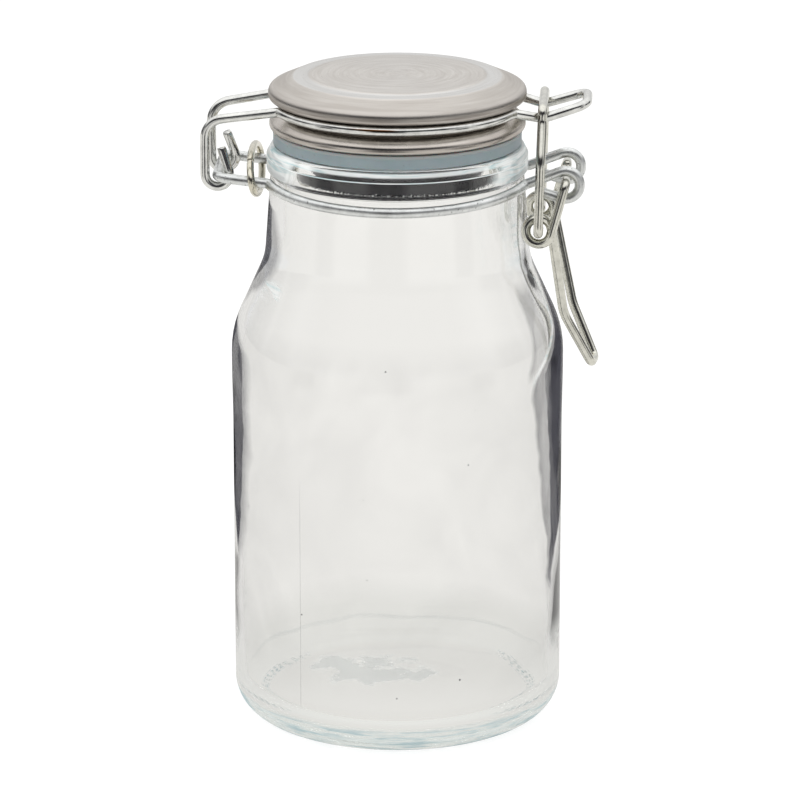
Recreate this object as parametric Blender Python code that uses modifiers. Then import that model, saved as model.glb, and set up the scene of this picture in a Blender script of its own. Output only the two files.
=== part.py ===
"""Glass canning jar with a steel lid, a wire bail and an over-centre lever latch.

Units are metres, +Z up. The jar stands on z = 0 and its axis is the Z axis.
The hinge side is -X and the latch side is +X. Every wire is mirrored about the XZ plane.
"""
import math

import bpy
from mathutils import Vector

# Fits
GAP = 0.0003                    # play between neighbouring pieces
SEAT_PLAY = 0.0005              # play between the latch bar and the nose under it
PASS_PLAY = 0.0004              # play between wires that pass beside each other

# Jar body
BODY_RADIUS = 0.0410
BULGE = 0.0002                  # how far the shoulder stands proud of the body
WALL = 0.0028
HEEL_RADIUS = 0.0140
HEEL_INNER_RADIUS = 0.0105
BASE_THICKNESS = 0.0050
BASE_RECESS = 0.0012
BASE_RECESS_FILLET = 0.0010
BASE_RING_WIDTH = 0.0050
BULGE_FOOT_DROP = 0.0688        # these four are below the rim
BULGE_TOP_DROP = 0.0583
SHOULDER_FOOT_DROP = 0.0473
SHOULDER_TOP_DROP = 0.0288
SHOULDER_ARC = 0.0430
NECK_FILLET = 0.0160

# Jar finish
JAR_HEIGHT = 0.1468
NECK_FOOT_RADIUS = 0.0328
GROOVE_RADIUS = 0.0312
NECK_INNER_RADIUS = 0.0288
MOUTH_RADIUS = 0.0272
RIM_RADIUS = 0.0309
RIM_FILLET = 0.0011
BEAD_RADIUS = 0.0322
BEAD_CHAMFER = 0.0024
BEAD_HEIGHT = 0.0062
BEAD_UNDERCUT = 0.0007
BEAD_FILLET = 0.0009

# Gasket
GASKET_THICKNESS = 0.0035
GASKET_RADIUS = 0.0307
GASKET_COLLAR_DEPTH = 0.0034
GASKET_COLLAR_WALL = 0.0016
GASKET_FILLET = 0.0009

# Lid base, a pressed flange and plug
SHEET = 0.0005
PLUG_RADIUS = 0.0246
PLUG_DEPTH = 0.0086
PLUG_FILLET = 0.0022
FLANGE_RADIUS = 0.0315
FLANGE_HEIGHT = 0.0030
FLANGE_RISE = 0.0013
FLANGE_FILLET = 0.0013
HEM_OVERLAP = 0.0024

# Lid top, a domed disc on a waist
LID_RADIUS = 0.0317
WAIST_RADIUS = 0.0289
EDGE_ROLL = 0.00095
LID_RISE = 0.0049
DOME_SHOULDER_RADIUS = 0.0296
DOME_SHOULDER_DROP = 0.0024
STEP_OUTER_RADIUS = 0.0256
STEP_INNER_RADIUS = 0.0219
STEP_DROP = 0.0004
RING_DROP = 0.0003

# Wires
WIRE_RADIUS = 0.00117           # bail, lever and link
NECK_WIRE_RADIUS = 0.00127
CLAMP_WIRE_RADIUS = 0.00090

# Hinge side
HINGE_REACH = 0.0106            # from the neck ring to the hinge bar
HINGE_HALF_WIDTH = 0.0120       # to the strands of the hinge loop
HINGE_DROP = 0.0065             # below the rim
HINGE_BEND = 0.0028
HOOK_RADIUS = 0.0033            # bail hook round the hinge bar
HOOK_HALF_WIDTH = 0.0092
HOOK_START_DEG = 19.0
TAIL_LENGTH = 0.0060
TAIL_LEAN = 0.0010
KNEE_BEND = 0.0048
KNEE_DROP = 0.0018
BAIL_SPLAY = 0.0115             # half width where the bail meets its ring

# Neck wire round the groove
NECK_WIRE_FRONT_DROP = 0.0096   # below the rim
NECK_WIRE_KINK_DROP = 0.0080
KINK_BEND = 0.0030

# Latch side
EYE_HALF_WIDTH = 0.0096
EYE_RADIUS = 0.0040
EYE_REACH = 0.0085              # from the neck ring to the lever pivot
PIVOT_DROP = 0.0072             # below the rim
EYE_TAIL_X = 0.0059             # tail end, back from the pivot
EYE_TAIL_DROP = 0.0026
ARM_HALF_WIDTH = 0.0124
PIN_OVERRUN = 0.0010
COIL_DROP = 0.0189
COIL_RADIUS = 0.0031
COIL_HALF_WIDTH = 0.0110        # inner turn of the coil
COIL_PITCH = 0.0027
PIN_BEND = 0.0016
HANDLE_STAND_OFF = 0.0011       # handle bend, out from the shoulder
HANDLE_BEND_RISE = 0.0058       # above the foot of the shoulder
HANDLE_BEND_HALF_WIDTH = 0.0064
HANDLE_BEND = 0.0140
HANDLE_TIP_OUT = 0.0074
HANDLE_TIP_DROP = 0.0134        # below the bend
HANDLE_TIP_HALF_WIDTH = 0.0027
HANDLE_TIP_BEND = 0.0021
HANDLE_TWIST_SHARE = 0.20       # sideways shift over half width
LINK_BAR_OUT = 0.0042           # latch bar, out from the lid edge
LINK_TOP_HALF_WIDTH = 0.0108
LINK_TOP_BEND = 0.0026
LINK_SHOULDER_SHARE = 0.60      # where the legs start to draw in
LINK_NECK_SHARE = 0.90
LINK_LEG_BEND = 0.0060

# Bail nose
NOSE_HALF_WIDTH = 0.0080
NOSE_ROOT_HALF_WIDTH = 0.0100
NOSE_DIP = 0.0016
NOSE_DIP_BEND = 0.0050
NOSE_TIP_OUT = 0.0107           # nose tip, out from the latch bar
NOSE_TIP_HALF_WIDTH = 0.0070
NOSE_TIP_RISE = 0.0018
NOSE_TIP_BEND = 0.0048

# Clamp ring
CLAMP_X_SHARE = 0.17            # place along the hinge reach
CLAMP_HALF_HEIGHT = 0.0061
CLAMP_LEAN_SHARE = 0.16
CLAMP_SEAM_DEG = 130.0
CLAMP_SEAM_OPEN = 0.0003

# Facets
TURN_STEPS = 40
FILLET_STEP = math.radians(30)
SHEET_FILLET_STEP = math.radians(45)
BEND_STEP = math.radians(24)
COIL_STEP = math.radians(24)
RING_STEP = math.radians(9)
CLAMP_POINTS = 32
TUBE_RESOLUTION = 2
MERGE = 0.00001

# Worked out from the sizes above
SHOULDER_RADIUS = BODY_RADIUS + BULGE
BULGE_FOOT_Z = JAR_HEIGHT - BULGE_FOOT_DROP
BULGE_TOP_Z = JAR_HEIGHT - BULGE_TOP_DROP
SHOULDER_FOOT_Z = JAR_HEIGHT - SHOULDER_FOOT_DROP
SHOULDER_TOP_Z = JAR_HEIGHT - SHOULDER_TOP_DROP
BEAD_FOOT_Z = JAR_HEIGHT - BEAD_HEIGHT
NECK_WIRE_FRONT_Z = JAR_HEIGHT - NECK_WIRE_FRONT_DROP
NECK_WIRE_KINK_Z = JAR_HEIGHT - NECK_WIRE_KINK_DROP
HINGE_Z = JAR_HEIGHT - HINGE_DROP
PIVOT_Z = JAR_HEIGHT - PIVOT_DROP
COIL_Z = JAR_HEIGHT - COIL_DROP
HANDLE_BEND_Z = SHOULDER_FOOT_Z + HANDLE_BEND_RISE
HANDLE_TIP_Z = HANDLE_BEND_Z - HANDLE_TIP_DROP
GASKET_Z = JAR_HEIGHT + GAP
FLANGE_Z = GASKET_Z + GASKET_THICKNESS + GAP
HEM_Z = FLANGE_Z + FLANGE_HEIGHT + FLANGE_RISE
BAIL_Z = HEM_Z + GAP + WIRE_RADIUS
BAIL_RING = (WAIST_RADIUS + GAP + WIRE_RADIUS) / math.cos(RING_STEP / 2)
LID_EDGE_Z = BAIL_Z + WIRE_RADIUS + GAP + EDGE_ROLL
LID_TOP_Z = LID_EDGE_Z + LID_RISE
LATCH_BAR_X = LID_RADIUS + LINK_BAR_OUT
NOSE_Z = BAIL_Z - NOSE_DIP
LATCH_BAR_Z = NOSE_Z + 2 * WIRE_RADIUS + SEAT_PLAY
LEG_HALF_WIDTH = COIL_HALF_WIDTH + COIL_PITCH + 2 * WIRE_RADIUS + PASS_PLAY


def neck_radius(z):
    """Outer radius of the neck cone at a height."""
    top = BEAD_FOOT_Z - BEAD_UNDERCUT
    share = (top - z) / (top - SHOULDER_TOP_Z)
    return GROOVE_RADIUS + (NECK_FOOT_RADIUS - GROOVE_RADIUS) * share


def coil_x():
    """Centre of the lever's coils, which stand clear of the neck."""
    inner_face = COIL_HALF_WIDTH - WIRE_RADIUS
    clear = neck_radius(COIL_Z) + GAP
    return math.sqrt(clear ** 2 - inner_face ** 2) + COIL_RADIUS + WIRE_RADIUS


NECK_RING = (neck_radius(NECK_WIRE_FRONT_Z) + GAP + NECK_WIRE_RADIUS) / math.cos(RING_STEP / 2)
HINGE_X = -(NECK_RING + HINGE_REACH)
PIVOT_X = NECK_RING + EYE_REACH
COIL_X = coil_x()


def filleted(corners, step, closed=False):
    """Points of a path through (x, y, z, bend radius) corners, with each corner rounded."""
    points = []
    count = len(corners)
    for i, corner in enumerate(corners):
        here, radius = Vector(corner[:3]), corner[3]
        if radius <= 0 or (not closed and i in (0, count - 1)):
            points.append(here)
            continue
        before = Vector(corners[i - 1][:3]) - here
        after = Vector(corners[(i + 1) % count][:3]) - here
        turn = math.pi - before.angle(after)
        if turn < BEND_STEP / 10:
            points.append(here)
            continue
        reach = radius * math.tan(turn / 2)
        reach = min(reach, before.length * 0.49, after.length * 0.49)
        radius = reach / math.tan(turn / 2)
        inward = (before.normalized() + after.normalized()).normalized()
        centre = here + inward * (radius / math.cos(turn / 2))
        start = here + before.normalized() * reach - centre
        end = here + after.normalized() * reach - centre
        steps = max(2, math.ceil(turn / step))
        for k in range(steps + 1):
            share = k / steps
            left = math.sin((1 - share) * turn) / math.sin(turn)
            right = math.sin(share * turn) / math.sin(turn)
            points.append(centre + start * left + end * right)
    return points


def outline(corners, step=FILLET_STEP, closed=False):
    """A profile in the XZ plane, from (radius, z, fillet) corners."""
    return filleted([(r, 0, z, f) for r, z, f in corners], step, closed)


def arc_xz(centre, radius, start, end, y_start, y_end, step):
    """Points on an arc in an XZ plane while y moves evenly from one value to the other."""
    steps = max(2, math.ceil(abs(end - start) / step))
    points = []
    for k in range(steps + 1):
        share = k / steps
        angle = start + (end - start) * share
        x = centre[0] + radius * math.cos(angle)
        z = centre[1] + radius * math.sin(angle)
        points.append(Vector((x, y_start + (y_end - y_start) * share, z)))
    return points


def tangent_angle(centre, radius, outside, side):
    """Angle on a circle of the point whose tangent reaches an outside point."""
    dx, dz = outside[0] - centre[0], outside[1] - centre[1]
    return math.atan2(dz, dx) + side * math.acos(radius / math.hypot(dx, dz))


def mirrored(points):
    """A near half from its free end to the XZ plane, joined to its mirror image."""
    far = [Vector((p.x, -p.y, p.z)) for p in reversed(points)]
    return points + far


def material(name, colour, roughness, metallic=0.0, transmission=0.0):
    """A Principled material."""
    made = bpy.data.materials.new(name)
    made.use_nodes = True
    shader = made.node_tree.nodes["Principled BSDF"]
    shader.inputs["Base Color"].default_value = (*colour, 1.0)
    shader.inputs["Roughness"].default_value = roughness
    shader.inputs["Metallic"].default_value = metallic
    shader.inputs["Transmission Weight"].default_value = transmission
    return made


def link_to(collection, obj, parent=None):
    """Put an object in the collection, under its pivot if it has one."""
    collection.objects.link(obj)
    if parent:
        obj.parent = parent
    return obj


def pivot(collection, name, place, parent=None):
    """An empty on a joint's axis."""
    empty = bpy.data.objects.new(name, None)
    empty.empty_display_size = WIRE_RADIUS
    base = world_place(parent)
    empty.location = Vector(place) - base
    return link_to(collection, empty, parent)


def world_place(empty):
    """World position of a pivot, which is never turned."""
    place = Vector((0, 0, 0))
    while empty:
        place = place + empty.location
        empty = empty.parent
    return place


def turned(collection, name, profile, finish, closed=False, sheet=0.0, parent=None):
    """A profile turned about the Z axis, and thickened inwards when it is sheet."""
    base = world_place(parent)
    mesh = bpy.data.meshes.new(name)
    count = len(profile)
    edges = [(i, i + 1) for i in range(count - 1)]
    if closed:
        edges.append((count - 1, 0))
    mesh.from_pydata([p[:] for p in profile], edges, [])
    mesh.materials.append(finish)
    obj = link_to(collection, bpy.data.objects.new(name, mesh), parent)
    obj.location = -base
    screw = obj.modifiers.new("turn", "SCREW")
    screw.axis = "Z"
    screw.angle = 2 * math.pi
    screw.steps = TURN_STEPS
    screw.render_steps = TURN_STEPS
    screw.use_merge_vertices = True
    screw.merge_threshold = MERGE
    screw.use_smooth_shade = True
    if sheet:
        solid = obj.modifiers.new("sheet", "SOLIDIFY")
        solid.thickness = sheet
        solid.offset = -1.0
        solid.use_even_offset = True
    return obj


def wire(collection, name, points, radius, finish, parent=None):
    """A round wire along a line of points, with flat cut ends."""
    base = world_place(parent)
    data = bpy.data.curves.new(name, "CURVE")
    data.dimensions = "3D"
    data.bevel_depth = radius
    data.bevel_resolution = TUBE_RESOLUTION
    data.use_fill_caps = True
    spline = data.splines.new("POLY")
    spline.points.add(len(points) - 1)
    for slot, point in zip(spline.points, points):
        slot.co = (*(point - base), 1.0)
    spline.use_smooth = True
    data.materials.append(finish)
    return link_to(collection, bpy.data.objects.new(name, data), parent)


def glass_profile():
    """Jar section, from the middle of the floor up the inside and down the outside."""
    body_inner = BODY_RADIUS - WALL
    shoulder_inner = SHOULDER_RADIUS - WALL
    slope = math.atan2(SHOULDER_RADIUS - NECK_FOOT_RADIUS, SHOULDER_TOP_Z - SHOULDER_FOOT_Z)
    inner_foot_z = SHOULDER_FOOT_Z - WALL * math.tan(slope / 2)
    inner_top_z = inner_foot_z + (shoulder_inner - NECK_INNER_RADIUS) / math.tan(slope)
    floor_z = BASE_RECESS + BASE_THICKNESS
    ring_outer = BODY_RADIUS - HEEL_RADIUS
    ring_inner = ring_outer - BASE_RING_WIDTH
    bead_top_z = JAR_HEIGHT - BEAD_CHAMFER
    return outline([
        (0, floor_z, 0),
        (body_inner, floor_z, HEEL_INNER_RADIUS),
        (body_inner, BULGE_FOOT_Z, 0),
        (shoulder_inner, BULGE_TOP_Z, 0),
        (shoulder_inner, inner_foot_z, SHOULDER_ARC - WALL),
        (NECK_INNER_RADIUS, inner_top_z, NECK_FILLET + WALL),
        (MOUTH_RADIUS, JAR_HEIGHT, RIM_FILLET),
        (RIM_RADIUS, JAR_HEIGHT, RIM_FILLET),
        (BEAD_RADIUS, bead_top_z, BEAD_FILLET),
        (BEAD_RADIUS, BEAD_FOOT_Z, BEAD_FILLET),
        (GROOVE_RADIUS, BEAD_FOOT_Z - BEAD_UNDERCUT, BEAD_FILLET),
        (NECK_FOOT_RADIUS, SHOULDER_TOP_Z, NECK_FILLET),
        (SHOULDER_RADIUS, SHOULDER_FOOT_Z, SHOULDER_ARC),
        (SHOULDER_RADIUS, BULGE_TOP_Z, 0),
        (BODY_RADIUS, BULGE_FOOT_Z, 0),
        (BODY_RADIUS, 0, HEEL_RADIUS),
        (ring_inner, 0, 0),
        (ring_inner - BASE_RECESS, BASE_RECESS, BASE_RECESS_FILLET),
        (0, BASE_RECESS, 0),
    ])


def gasket_profile():
    """Seal section: a flat ring on the rim, with a collar that grips the plug."""
    inner = PLUG_RADIUS + GAP
    collar = inner + GASKET_COLLAR_WALL
    top = GASKET_Z + GASKET_THICKNESS
    return outline([
        (inner, top, 0),
        (GASKET_RADIUS, top, GASKET_FILLET),
        (GASKET_RADIUS, GASKET_Z, GASKET_FILLET),
        (collar, GASKET_Z, 0),
        (collar, GASKET_Z - GASKET_COLLAR_DEPTH, 0),
        (inner, GASKET_Z - GASKET_COLLAR_DEPTH, 0),
    ], SHEET_FILLET_STEP, closed=True)


def lid_base_profile():
    """Outer face of the lower pressing, from its hem over the flange to the plug's middle."""
    plug_z = JAR_HEIGHT - PLUG_DEPTH
    return outline([
        (WAIST_RADIUS - HEM_OVERLAP, HEM_Z, 0),
        (WAIST_RADIUS, HEM_Z, FLANGE_FILLET),
        (FLANGE_RADIUS, FLANGE_Z + FLANGE_HEIGHT, FLANGE_FILLET),
        (FLANGE_RADIUS, FLANGE_Z, FLANGE_FILLET),
        (PLUG_RADIUS, FLANGE_Z, SHEET),
        (PLUG_RADIUS, plug_z, PLUG_FILLET),
        (0, plug_z, 0),
    ], SHEET_FILLET_STEP)


def lid_top_profile():
    """Outer face of the upper pressing, from its middle over the edge to the waist."""
    ring_z = LID_TOP_Z - STEP_DROP
    dome_z = ring_z - RING_DROP
    under_z = LID_EDGE_Z - EDGE_ROLL
    return outline([
        (0, LID_TOP_Z, 0),
        (STEP_INNER_RADIUS, LID_TOP_Z, 0),
        (STEP_INNER_RADIUS + STEP_DROP, ring_z, 0),
        (STEP_OUTER_RADIUS, ring_z, 0),
        (STEP_OUTER_RADIUS + RING_DROP, dome_z, 0),
        (DOME_SHOULDER_RADIUS, LID_TOP_Z - DOME_SHOULDER_DROP, LID_RISE),
        (LID_RADIUS, LID_EDGE_Z + EDGE_ROLL / 2, EDGE_ROLL),
        (LID_RADIUS, under_z, EDGE_ROLL),
        (WAIST_RADIUS, under_z, SHEET),
        (WAIST_RADIUS, HEM_Z + GAP, 0),
    ], SHEET_FILLET_STEP)


def neck_wire_points():
    """Near half of the neck wire: eye tail, eye, front of the ring, and the hinge loop."""
    eye_inner = EYE_RADIUS * math.cos(BEND_STEP / 2) - NECK_WIRE_RADIUS
    eye = (PIVOT_X, PIVOT_Z + WIRE_RADIUS + GAP - eye_inner)
    tail = (PIVOT_X - EYE_TAIL_X, PIVOT_Z - EYE_TAIL_DROP)
    y = -EYE_HALF_WIDTH
    kink_angle = -math.asin(EYE_HALF_WIDTH / NECK_RING)
    kink = (NECK_RING * math.cos(kink_angle), NECK_WIRE_KINK_Z)
    start = tangent_angle(eye, EYE_RADIUS, tail, 1)
    end = tangent_angle(eye, EYE_RADIUS, kink, -1) + 2 * math.pi
    loop = arc_xz(eye, EYE_RADIUS, start, end, y, y, BEND_STEP)
    tail_point = Vector((tail[0], y, tail[1]))
    last = math.pi - math.asin(HINGE_HALF_WIDTH / NECK_RING)
    ring = [(kink[0], y, kink[1], KINK_BEND)]
    span = last + kink_angle
    steps = math.ceil(span / RING_STEP)
    for k in range(1, steps):
        angle = kink_angle - span * k / steps
        lift = (1 + math.sin(angle)) / (1 + math.sin(kink_angle))
        z = NECK_WIRE_FRONT_Z + (NECK_WIRE_KINK_Z - NECK_WIRE_FRONT_Z) * min(lift, 1)
        ring.append((NECK_RING * math.cos(angle), NECK_RING * math.sin(angle), z, 0))
    left = -NECK_RING * math.cos(math.asin(HINGE_HALF_WIDTH / NECK_RING))
    ring.append((left, -HINGE_HALF_WIDTH, NECK_WIRE_KINK_Z, KINK_BEND))
    ring.append((HINGE_X, -HINGE_HALF_WIDTH, HINGE_Z, HINGE_BEND))
    ring.append((HINGE_X, 0, HINGE_Z, 0))
    path = filleted([(*loop[-1], 0)] + ring, BEND_STEP)
    return [tail_point] + loop + path[1:-1]


def clamp_ring_points():
    """Oval ring round both strands of the hinge loop, open at its butt seam."""
    half = HINGE_HALF_WIDTH + NECK_WIRE_RADIUS + CLAMP_WIRE_RADIUS + PASS_PLAY
    x = -(NECK_RING + HINGE_REACH * CLAMP_X_SHARE)
    z = NECK_WIRE_KINK_Z + (HINGE_Z - NECK_WIRE_KINK_Z) * CLAMP_X_SHARE
    seam = math.radians(CLAMP_SEAM_DEG)
    open_angle = CLAMP_SEAM_OPEN / half
    points = []
    for k in range(CLAMP_POINTS + 1):
        angle = seam + open_angle + (2 * math.pi - 2 * open_angle) * k / CLAMP_POINTS
        rise = CLAMP_HALF_HEIGHT * math.sin(angle)
        points.append(Vector((x - rise * CLAMP_LEAN_SHARE, half * math.cos(angle), z + rise)))
    return points


def bail_points():
    """Near half of the bail: tail, hook, leg, ring round the waist, and half the nose."""
    centre = (HINGE_X, HINGE_Z)
    start = math.radians(HOOK_START_DEG)
    y = -HOOK_HALF_WIDTH
    hook = arc_xz(centre, HOOK_RADIUS, start, -math.pi, y, y, BEND_STEP)
    direction = Vector((-math.sin(start), 0, math.cos(start)))
    tail = hook[0] + direction * TAIL_LENGTH + Vector((0, TAIL_LEAN, 0))
    first = math.pi - math.asin(BAIL_SPLAY / BAIL_RING)
    last = math.asin(NOSE_ROOT_HALF_WIDTH / BAIL_RING)
    corners = [(*hook[-1], 0)]
    corners.append((HINGE_X - HOOK_RADIUS, y, BAIL_Z - KNEE_DROP, KNEE_BEND))
    corners.append((BAIL_RING * math.cos(first), -BAIL_SPLAY, BAIL_Z, KINK_BEND))
    steps = math.ceil((first - last) / RING_STEP)
    for k in range(1, steps):
        angle = first + (last - first) * k / steps
        corners.append((BAIL_RING * math.cos(angle), -BAIL_RING * math.sin(angle), BAIL_Z, 0))
    corners.append((BAIL_RING * math.cos(last), -NOSE_ROOT_HALF_WIDTH, BAIL_Z, KINK_BEND))
    corners.append((LATCH_BAR_X, -NOSE_HALF_WIDTH, NOSE_Z, NOSE_DIP_BEND))
    tip_x = LATCH_BAR_X + NOSE_TIP_OUT
    tip_z = BAIL_Z + NOSE_TIP_RISE
    corners.append((tip_x, -NOSE_TIP_HALF_WIDTH, tip_z, NOSE_TIP_BEND))
    corners.append((tip_x, 0, tip_z, 0))
    path = filleted(corners, BEND_STEP)
    return [tail] + hook + path[1:-1]


def lever_points():
    """Near half of the lever: pin in the eye, arm, coil, and half the handle."""
    coil = (COIL_X, COIL_Z)
    pin_end = -(EYE_HALF_WIDTH - NECK_WIRE_RADIUS - PIN_OVERRUN)
    bend_x = SHOULDER_RADIUS + HANDLE_STAND_OFF
    outer_y = -(COIL_HALF_WIDTH + COIL_PITCH)
    start = tangent_angle(coil, COIL_RADIUS, (PIVOT_X, PIVOT_Z), -1)
    end = tangent_angle(coil, COIL_RADIUS, (bend_x, HANDLE_BEND_Z), 1) - 2 * math.pi
    turn = arc_xz(coil, COIL_RADIUS, start, end, outer_y, -COIL_HALF_WIDTH, COIL_STEP)
    arm = filleted([
        (PIVOT_X, pin_end, PIVOT_Z, 0),
        (PIVOT_X, -ARM_HALF_WIDTH, PIVOT_Z, PIN_BEND),
        (*turn[0], 0),
    ], BEND_STEP)
    tip_x = SHOULDER_RADIUS + HANDLE_TIP_OUT
    handle = filleted([
        (*turn[-1], 0),
        (bend_x, -HANDLE_BEND_HALF_WIDTH, HANDLE_BEND_Z, HANDLE_BEND),
        (tip_x, -HANDLE_TIP_HALF_WIDTH, HANDLE_TIP_Z, HANDLE_TIP_BEND),
        (tip_x, 0, HANDLE_TIP_Z, 0),
    ], BEND_STEP)
    return arm[:-1] + turn, handle[1:-1]


def twisted(points, share):
    """Handle points shifted along x in step with their side, as a handle with a slight twist."""
    return [Vector((p.x + share * p.y, p.y, p.z)) for p in points]


def lever_path():
    """The whole lever, with its handle twisted a little."""
    half, handle = lever_points()
    far_half = [Vector((p.x, -p.y, p.z)) for p in reversed(half)]
    return half + twisted(mirrored(handle), HANDLE_TWIST_SHARE) + far_half


def link_points():
    """Near half of the latch link: pin in the coil, leg, and half the latch bar."""
    pin_end = -(COIL_HALF_WIDTH - WIRE_RADIUS - PIN_OVERRUN)
    foot = Vector((COIL_X, 0, COIL_Z))
    top = Vector((LATCH_BAR_X, 0, LATCH_BAR_Z))
    shoulder = foot.lerp(top, LINK_SHOULDER_SHARE)
    neck = foot.lerp(top, LINK_NECK_SHARE)
    return filleted([
        (foot.x, pin_end, foot.z, 0),
        (foot.x, -LEG_HALF_WIDTH, foot.z, PIN_BEND),
        (shoulder.x, -LEG_HALF_WIDTH, shoulder.z, LINK_LEG_BEND),
        (neck.x, -LINK_TOP_HALF_WIDTH, neck.z, 0),
        (top.x, -LINK_TOP_HALF_WIDTH, top.z, LINK_TOP_BEND),
        (top.x, 0, top.z, 0),
    ], BEND_STEP)[:-1]


def build():
    """Make every piece of the jar."""
    for obj in list(bpy.data.objects):
        bpy.data.objects.remove(obj)
    jar = bpy.data.collections.new("glass_canning_jar")
    bpy.context.scene.collection.children.link(jar)

    glass = material("clear_glass", (0.90, 0.94, 0.93), 0.03, transmission=1.0)
    silicone = material("seal_silicone", (0.55, 0.62, 0.66), 0.45, transmission=0.3)
    top_steel = material("lid_top_steel", (0.60, 0.56, 0.53), 0.36, metallic=1.0)
    base_steel = material("lid_base_steel", (0.52, 0.48, 0.45), 0.34, metallic=1.0)
    bail_zinc = material("bail_zinc", (0.74, 0.74, 0.70), 0.22, metallic=1.0)
    neck_zinc = material("neck_wire_zinc", (0.66, 0.68, 0.67), 0.45, metallic=1.0)
    clamp_zinc = material("clamp_zinc", (0.74, 0.72, 0.62), 0.28, metallic=1.0)
    lever_zinc = material("lever_zinc", (0.72, 0.71, 0.64), 0.20, metallic=1.0)
    link_zinc = material("link_zinc", (0.70, 0.69, 0.63), 0.20, metallic=1.0)

    hinge = pivot(jar, "hinge_pivot", (HINGE_X, 0, HINGE_Z))
    lid_axis = pivot(jar, "lid_axis", (0, 0, BAIL_Z), hinge)
    lever_axis = pivot(jar, "lever_pivot", (PIVOT_X, 0, PIVOT_Z))
    link_axis = pivot(jar, "link_pivot", (COIL_X, 0, COIL_Z), lever_axis)

    turned(jar, "glass_jar", glass_profile(), glass)
    wire(jar, "neck_wire", mirrored(neck_wire_points()), NECK_WIRE_RADIUS, neck_zinc)
    wire(jar, "clamp_ring", clamp_ring_points(), CLAMP_WIRE_RADIUS, clamp_zinc)
    wire(jar, "lid_bail", mirrored(bail_points()), WIRE_RADIUS, bail_zinc, hinge)
    turned(jar, "lid_top", lid_top_profile(), top_steel, sheet=SHEET, parent=lid_axis)
    turned(jar, "lid_base", lid_base_profile(), base_steel, sheet=SHEET, parent=lid_axis)
    turned(jar, "lid_gasket", gasket_profile(), silicone, closed=True, parent=lid_axis)
    wire(jar, "latch_lever", lever_path(), WIRE_RADIUS, lever_zinc, lever_axis)
    wire(jar, "latch_link", mirrored(link_points()), WIRE_RADIUS, link_zinc, link_axis)


build()
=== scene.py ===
"""Looks of the glass canning jar: finer pieces that replace the CAD nodes, procedural materials and a small studio.

Units are metres, in the CAD's frame. The front of the photograph is -Y, the latch is at +X and the hinge at -X.
"""
from math import acos, asin, atan2, ceil, cos, dist, hypot, pi, radians, sin, tan
from types import SimpleNamespace

import bpy
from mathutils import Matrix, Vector, noise


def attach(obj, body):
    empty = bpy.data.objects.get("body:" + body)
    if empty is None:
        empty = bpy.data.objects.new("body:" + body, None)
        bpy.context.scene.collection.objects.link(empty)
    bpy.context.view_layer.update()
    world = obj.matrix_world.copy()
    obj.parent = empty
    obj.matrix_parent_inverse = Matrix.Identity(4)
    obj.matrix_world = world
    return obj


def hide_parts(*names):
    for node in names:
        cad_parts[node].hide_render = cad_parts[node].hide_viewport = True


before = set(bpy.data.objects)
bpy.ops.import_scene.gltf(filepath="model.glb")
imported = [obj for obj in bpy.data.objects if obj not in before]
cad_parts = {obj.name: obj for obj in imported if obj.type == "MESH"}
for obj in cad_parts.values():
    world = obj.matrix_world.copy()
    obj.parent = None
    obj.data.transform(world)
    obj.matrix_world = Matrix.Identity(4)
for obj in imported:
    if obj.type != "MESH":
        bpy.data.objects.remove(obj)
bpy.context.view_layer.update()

# Sizes, as in the CAD but for the inner heel (0.0105 there), the plug's depth (0.0086 there) and small forms of wires
GAP = 0.0003
BODY_RADIUS, BULGE, WALL = 0.0410, 0.0002, 0.0028
HEEL_RADIUS, HEEL_INNER_RADIUS = 0.0140, 0.0065
BASE_THICKNESS, BASE_RECESS, BASE_RING_WIDTH = 0.0050, 0.0012, 0.0050
RING_ARC, RECESS_ARC, RECESS_SHARE = 0.020, 0.100, 0.45
BULGE_FOOT_Z, BULGE_TOP_Z, BULGE_ARC = 0.0780, 0.0885, 0.3
SHOULDER_FOOT_Z, SHOULDER_TOP_Z = 0.0995, 0.1180
SHOULDER_ARC, NECK_FILLET = 0.0430, 0.0160
JAR_HEIGHT = 0.1468
NECK_FOOT_RADIUS, GROOVE_RADIUS = 0.0328, 0.0312
NECK_INNER_RADIUS, MOUTH_RADIUS = 0.0288, 0.0272
RIM_RADIUS, RIM_FILLET = 0.0309, 0.0011
BEAD_RADIUS, BEAD_CHAMFER, BEAD_HEIGHT = 0.0322, 0.0024, 0.0062
BEAD_UNDERCUT, BEAD_FILLET, BEAD_EDGE = 0.0007, 0.0009, 0.0005
GASKET_THICKNESS, GASKET_RADIUS = 0.0035, 0.0307
GASKET_STEP, GASKET_STEP_TOP, GASKET_STEP_FOOT = 0.00015, 0.0029, 0.0026
GASKET_EDGE, GASKET_LIP, GASKET_FILLET, COLLAR_FILLET = 0.0002, 0.0005, 0.0003, 0.0004
COLLAR_DEPTH, COLLAR_WALL = 0.0034, 0.0016
SHEET = 0.0005
PLUG_RADIUS, PLUG_DEPTH, PLUG_FILLET = 0.0246, 0.0091, 0.0022
FLANGE_RADIUS, FLANGE_HEIGHT, FLANGE_RISE = 0.0315, 0.0030, 0.0013
FLANGE_FILLET, FLANGE_WIDEST_SHARE, FLANGE_SIDE_FILLET, FLANGE_FOOT_FILLET = 0.0013, 0.60, 0.0016, 0.0010
HEM_OVERLAP = 0.0024
LID_RADIUS, WAIST_RADIUS, EDGE_ROLL, LID_RISE = 0.0317, 0.0289, 0.00095, 0.0049
LID_EDGE_DROP, LID_EDGE_FILLET, LID_UNDER_FILLET = 0.0031, 0.0017, 0.0011
STEP_OUTER_RADIUS, STEP_INNER_RADIUS = 0.0256, 0.0219
STEP_DROP, RING_DROP, STEP_RUN_IN, STEP_RUN_OUT = 0.0004, 0.0003, 0.0004, 0.0006
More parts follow.
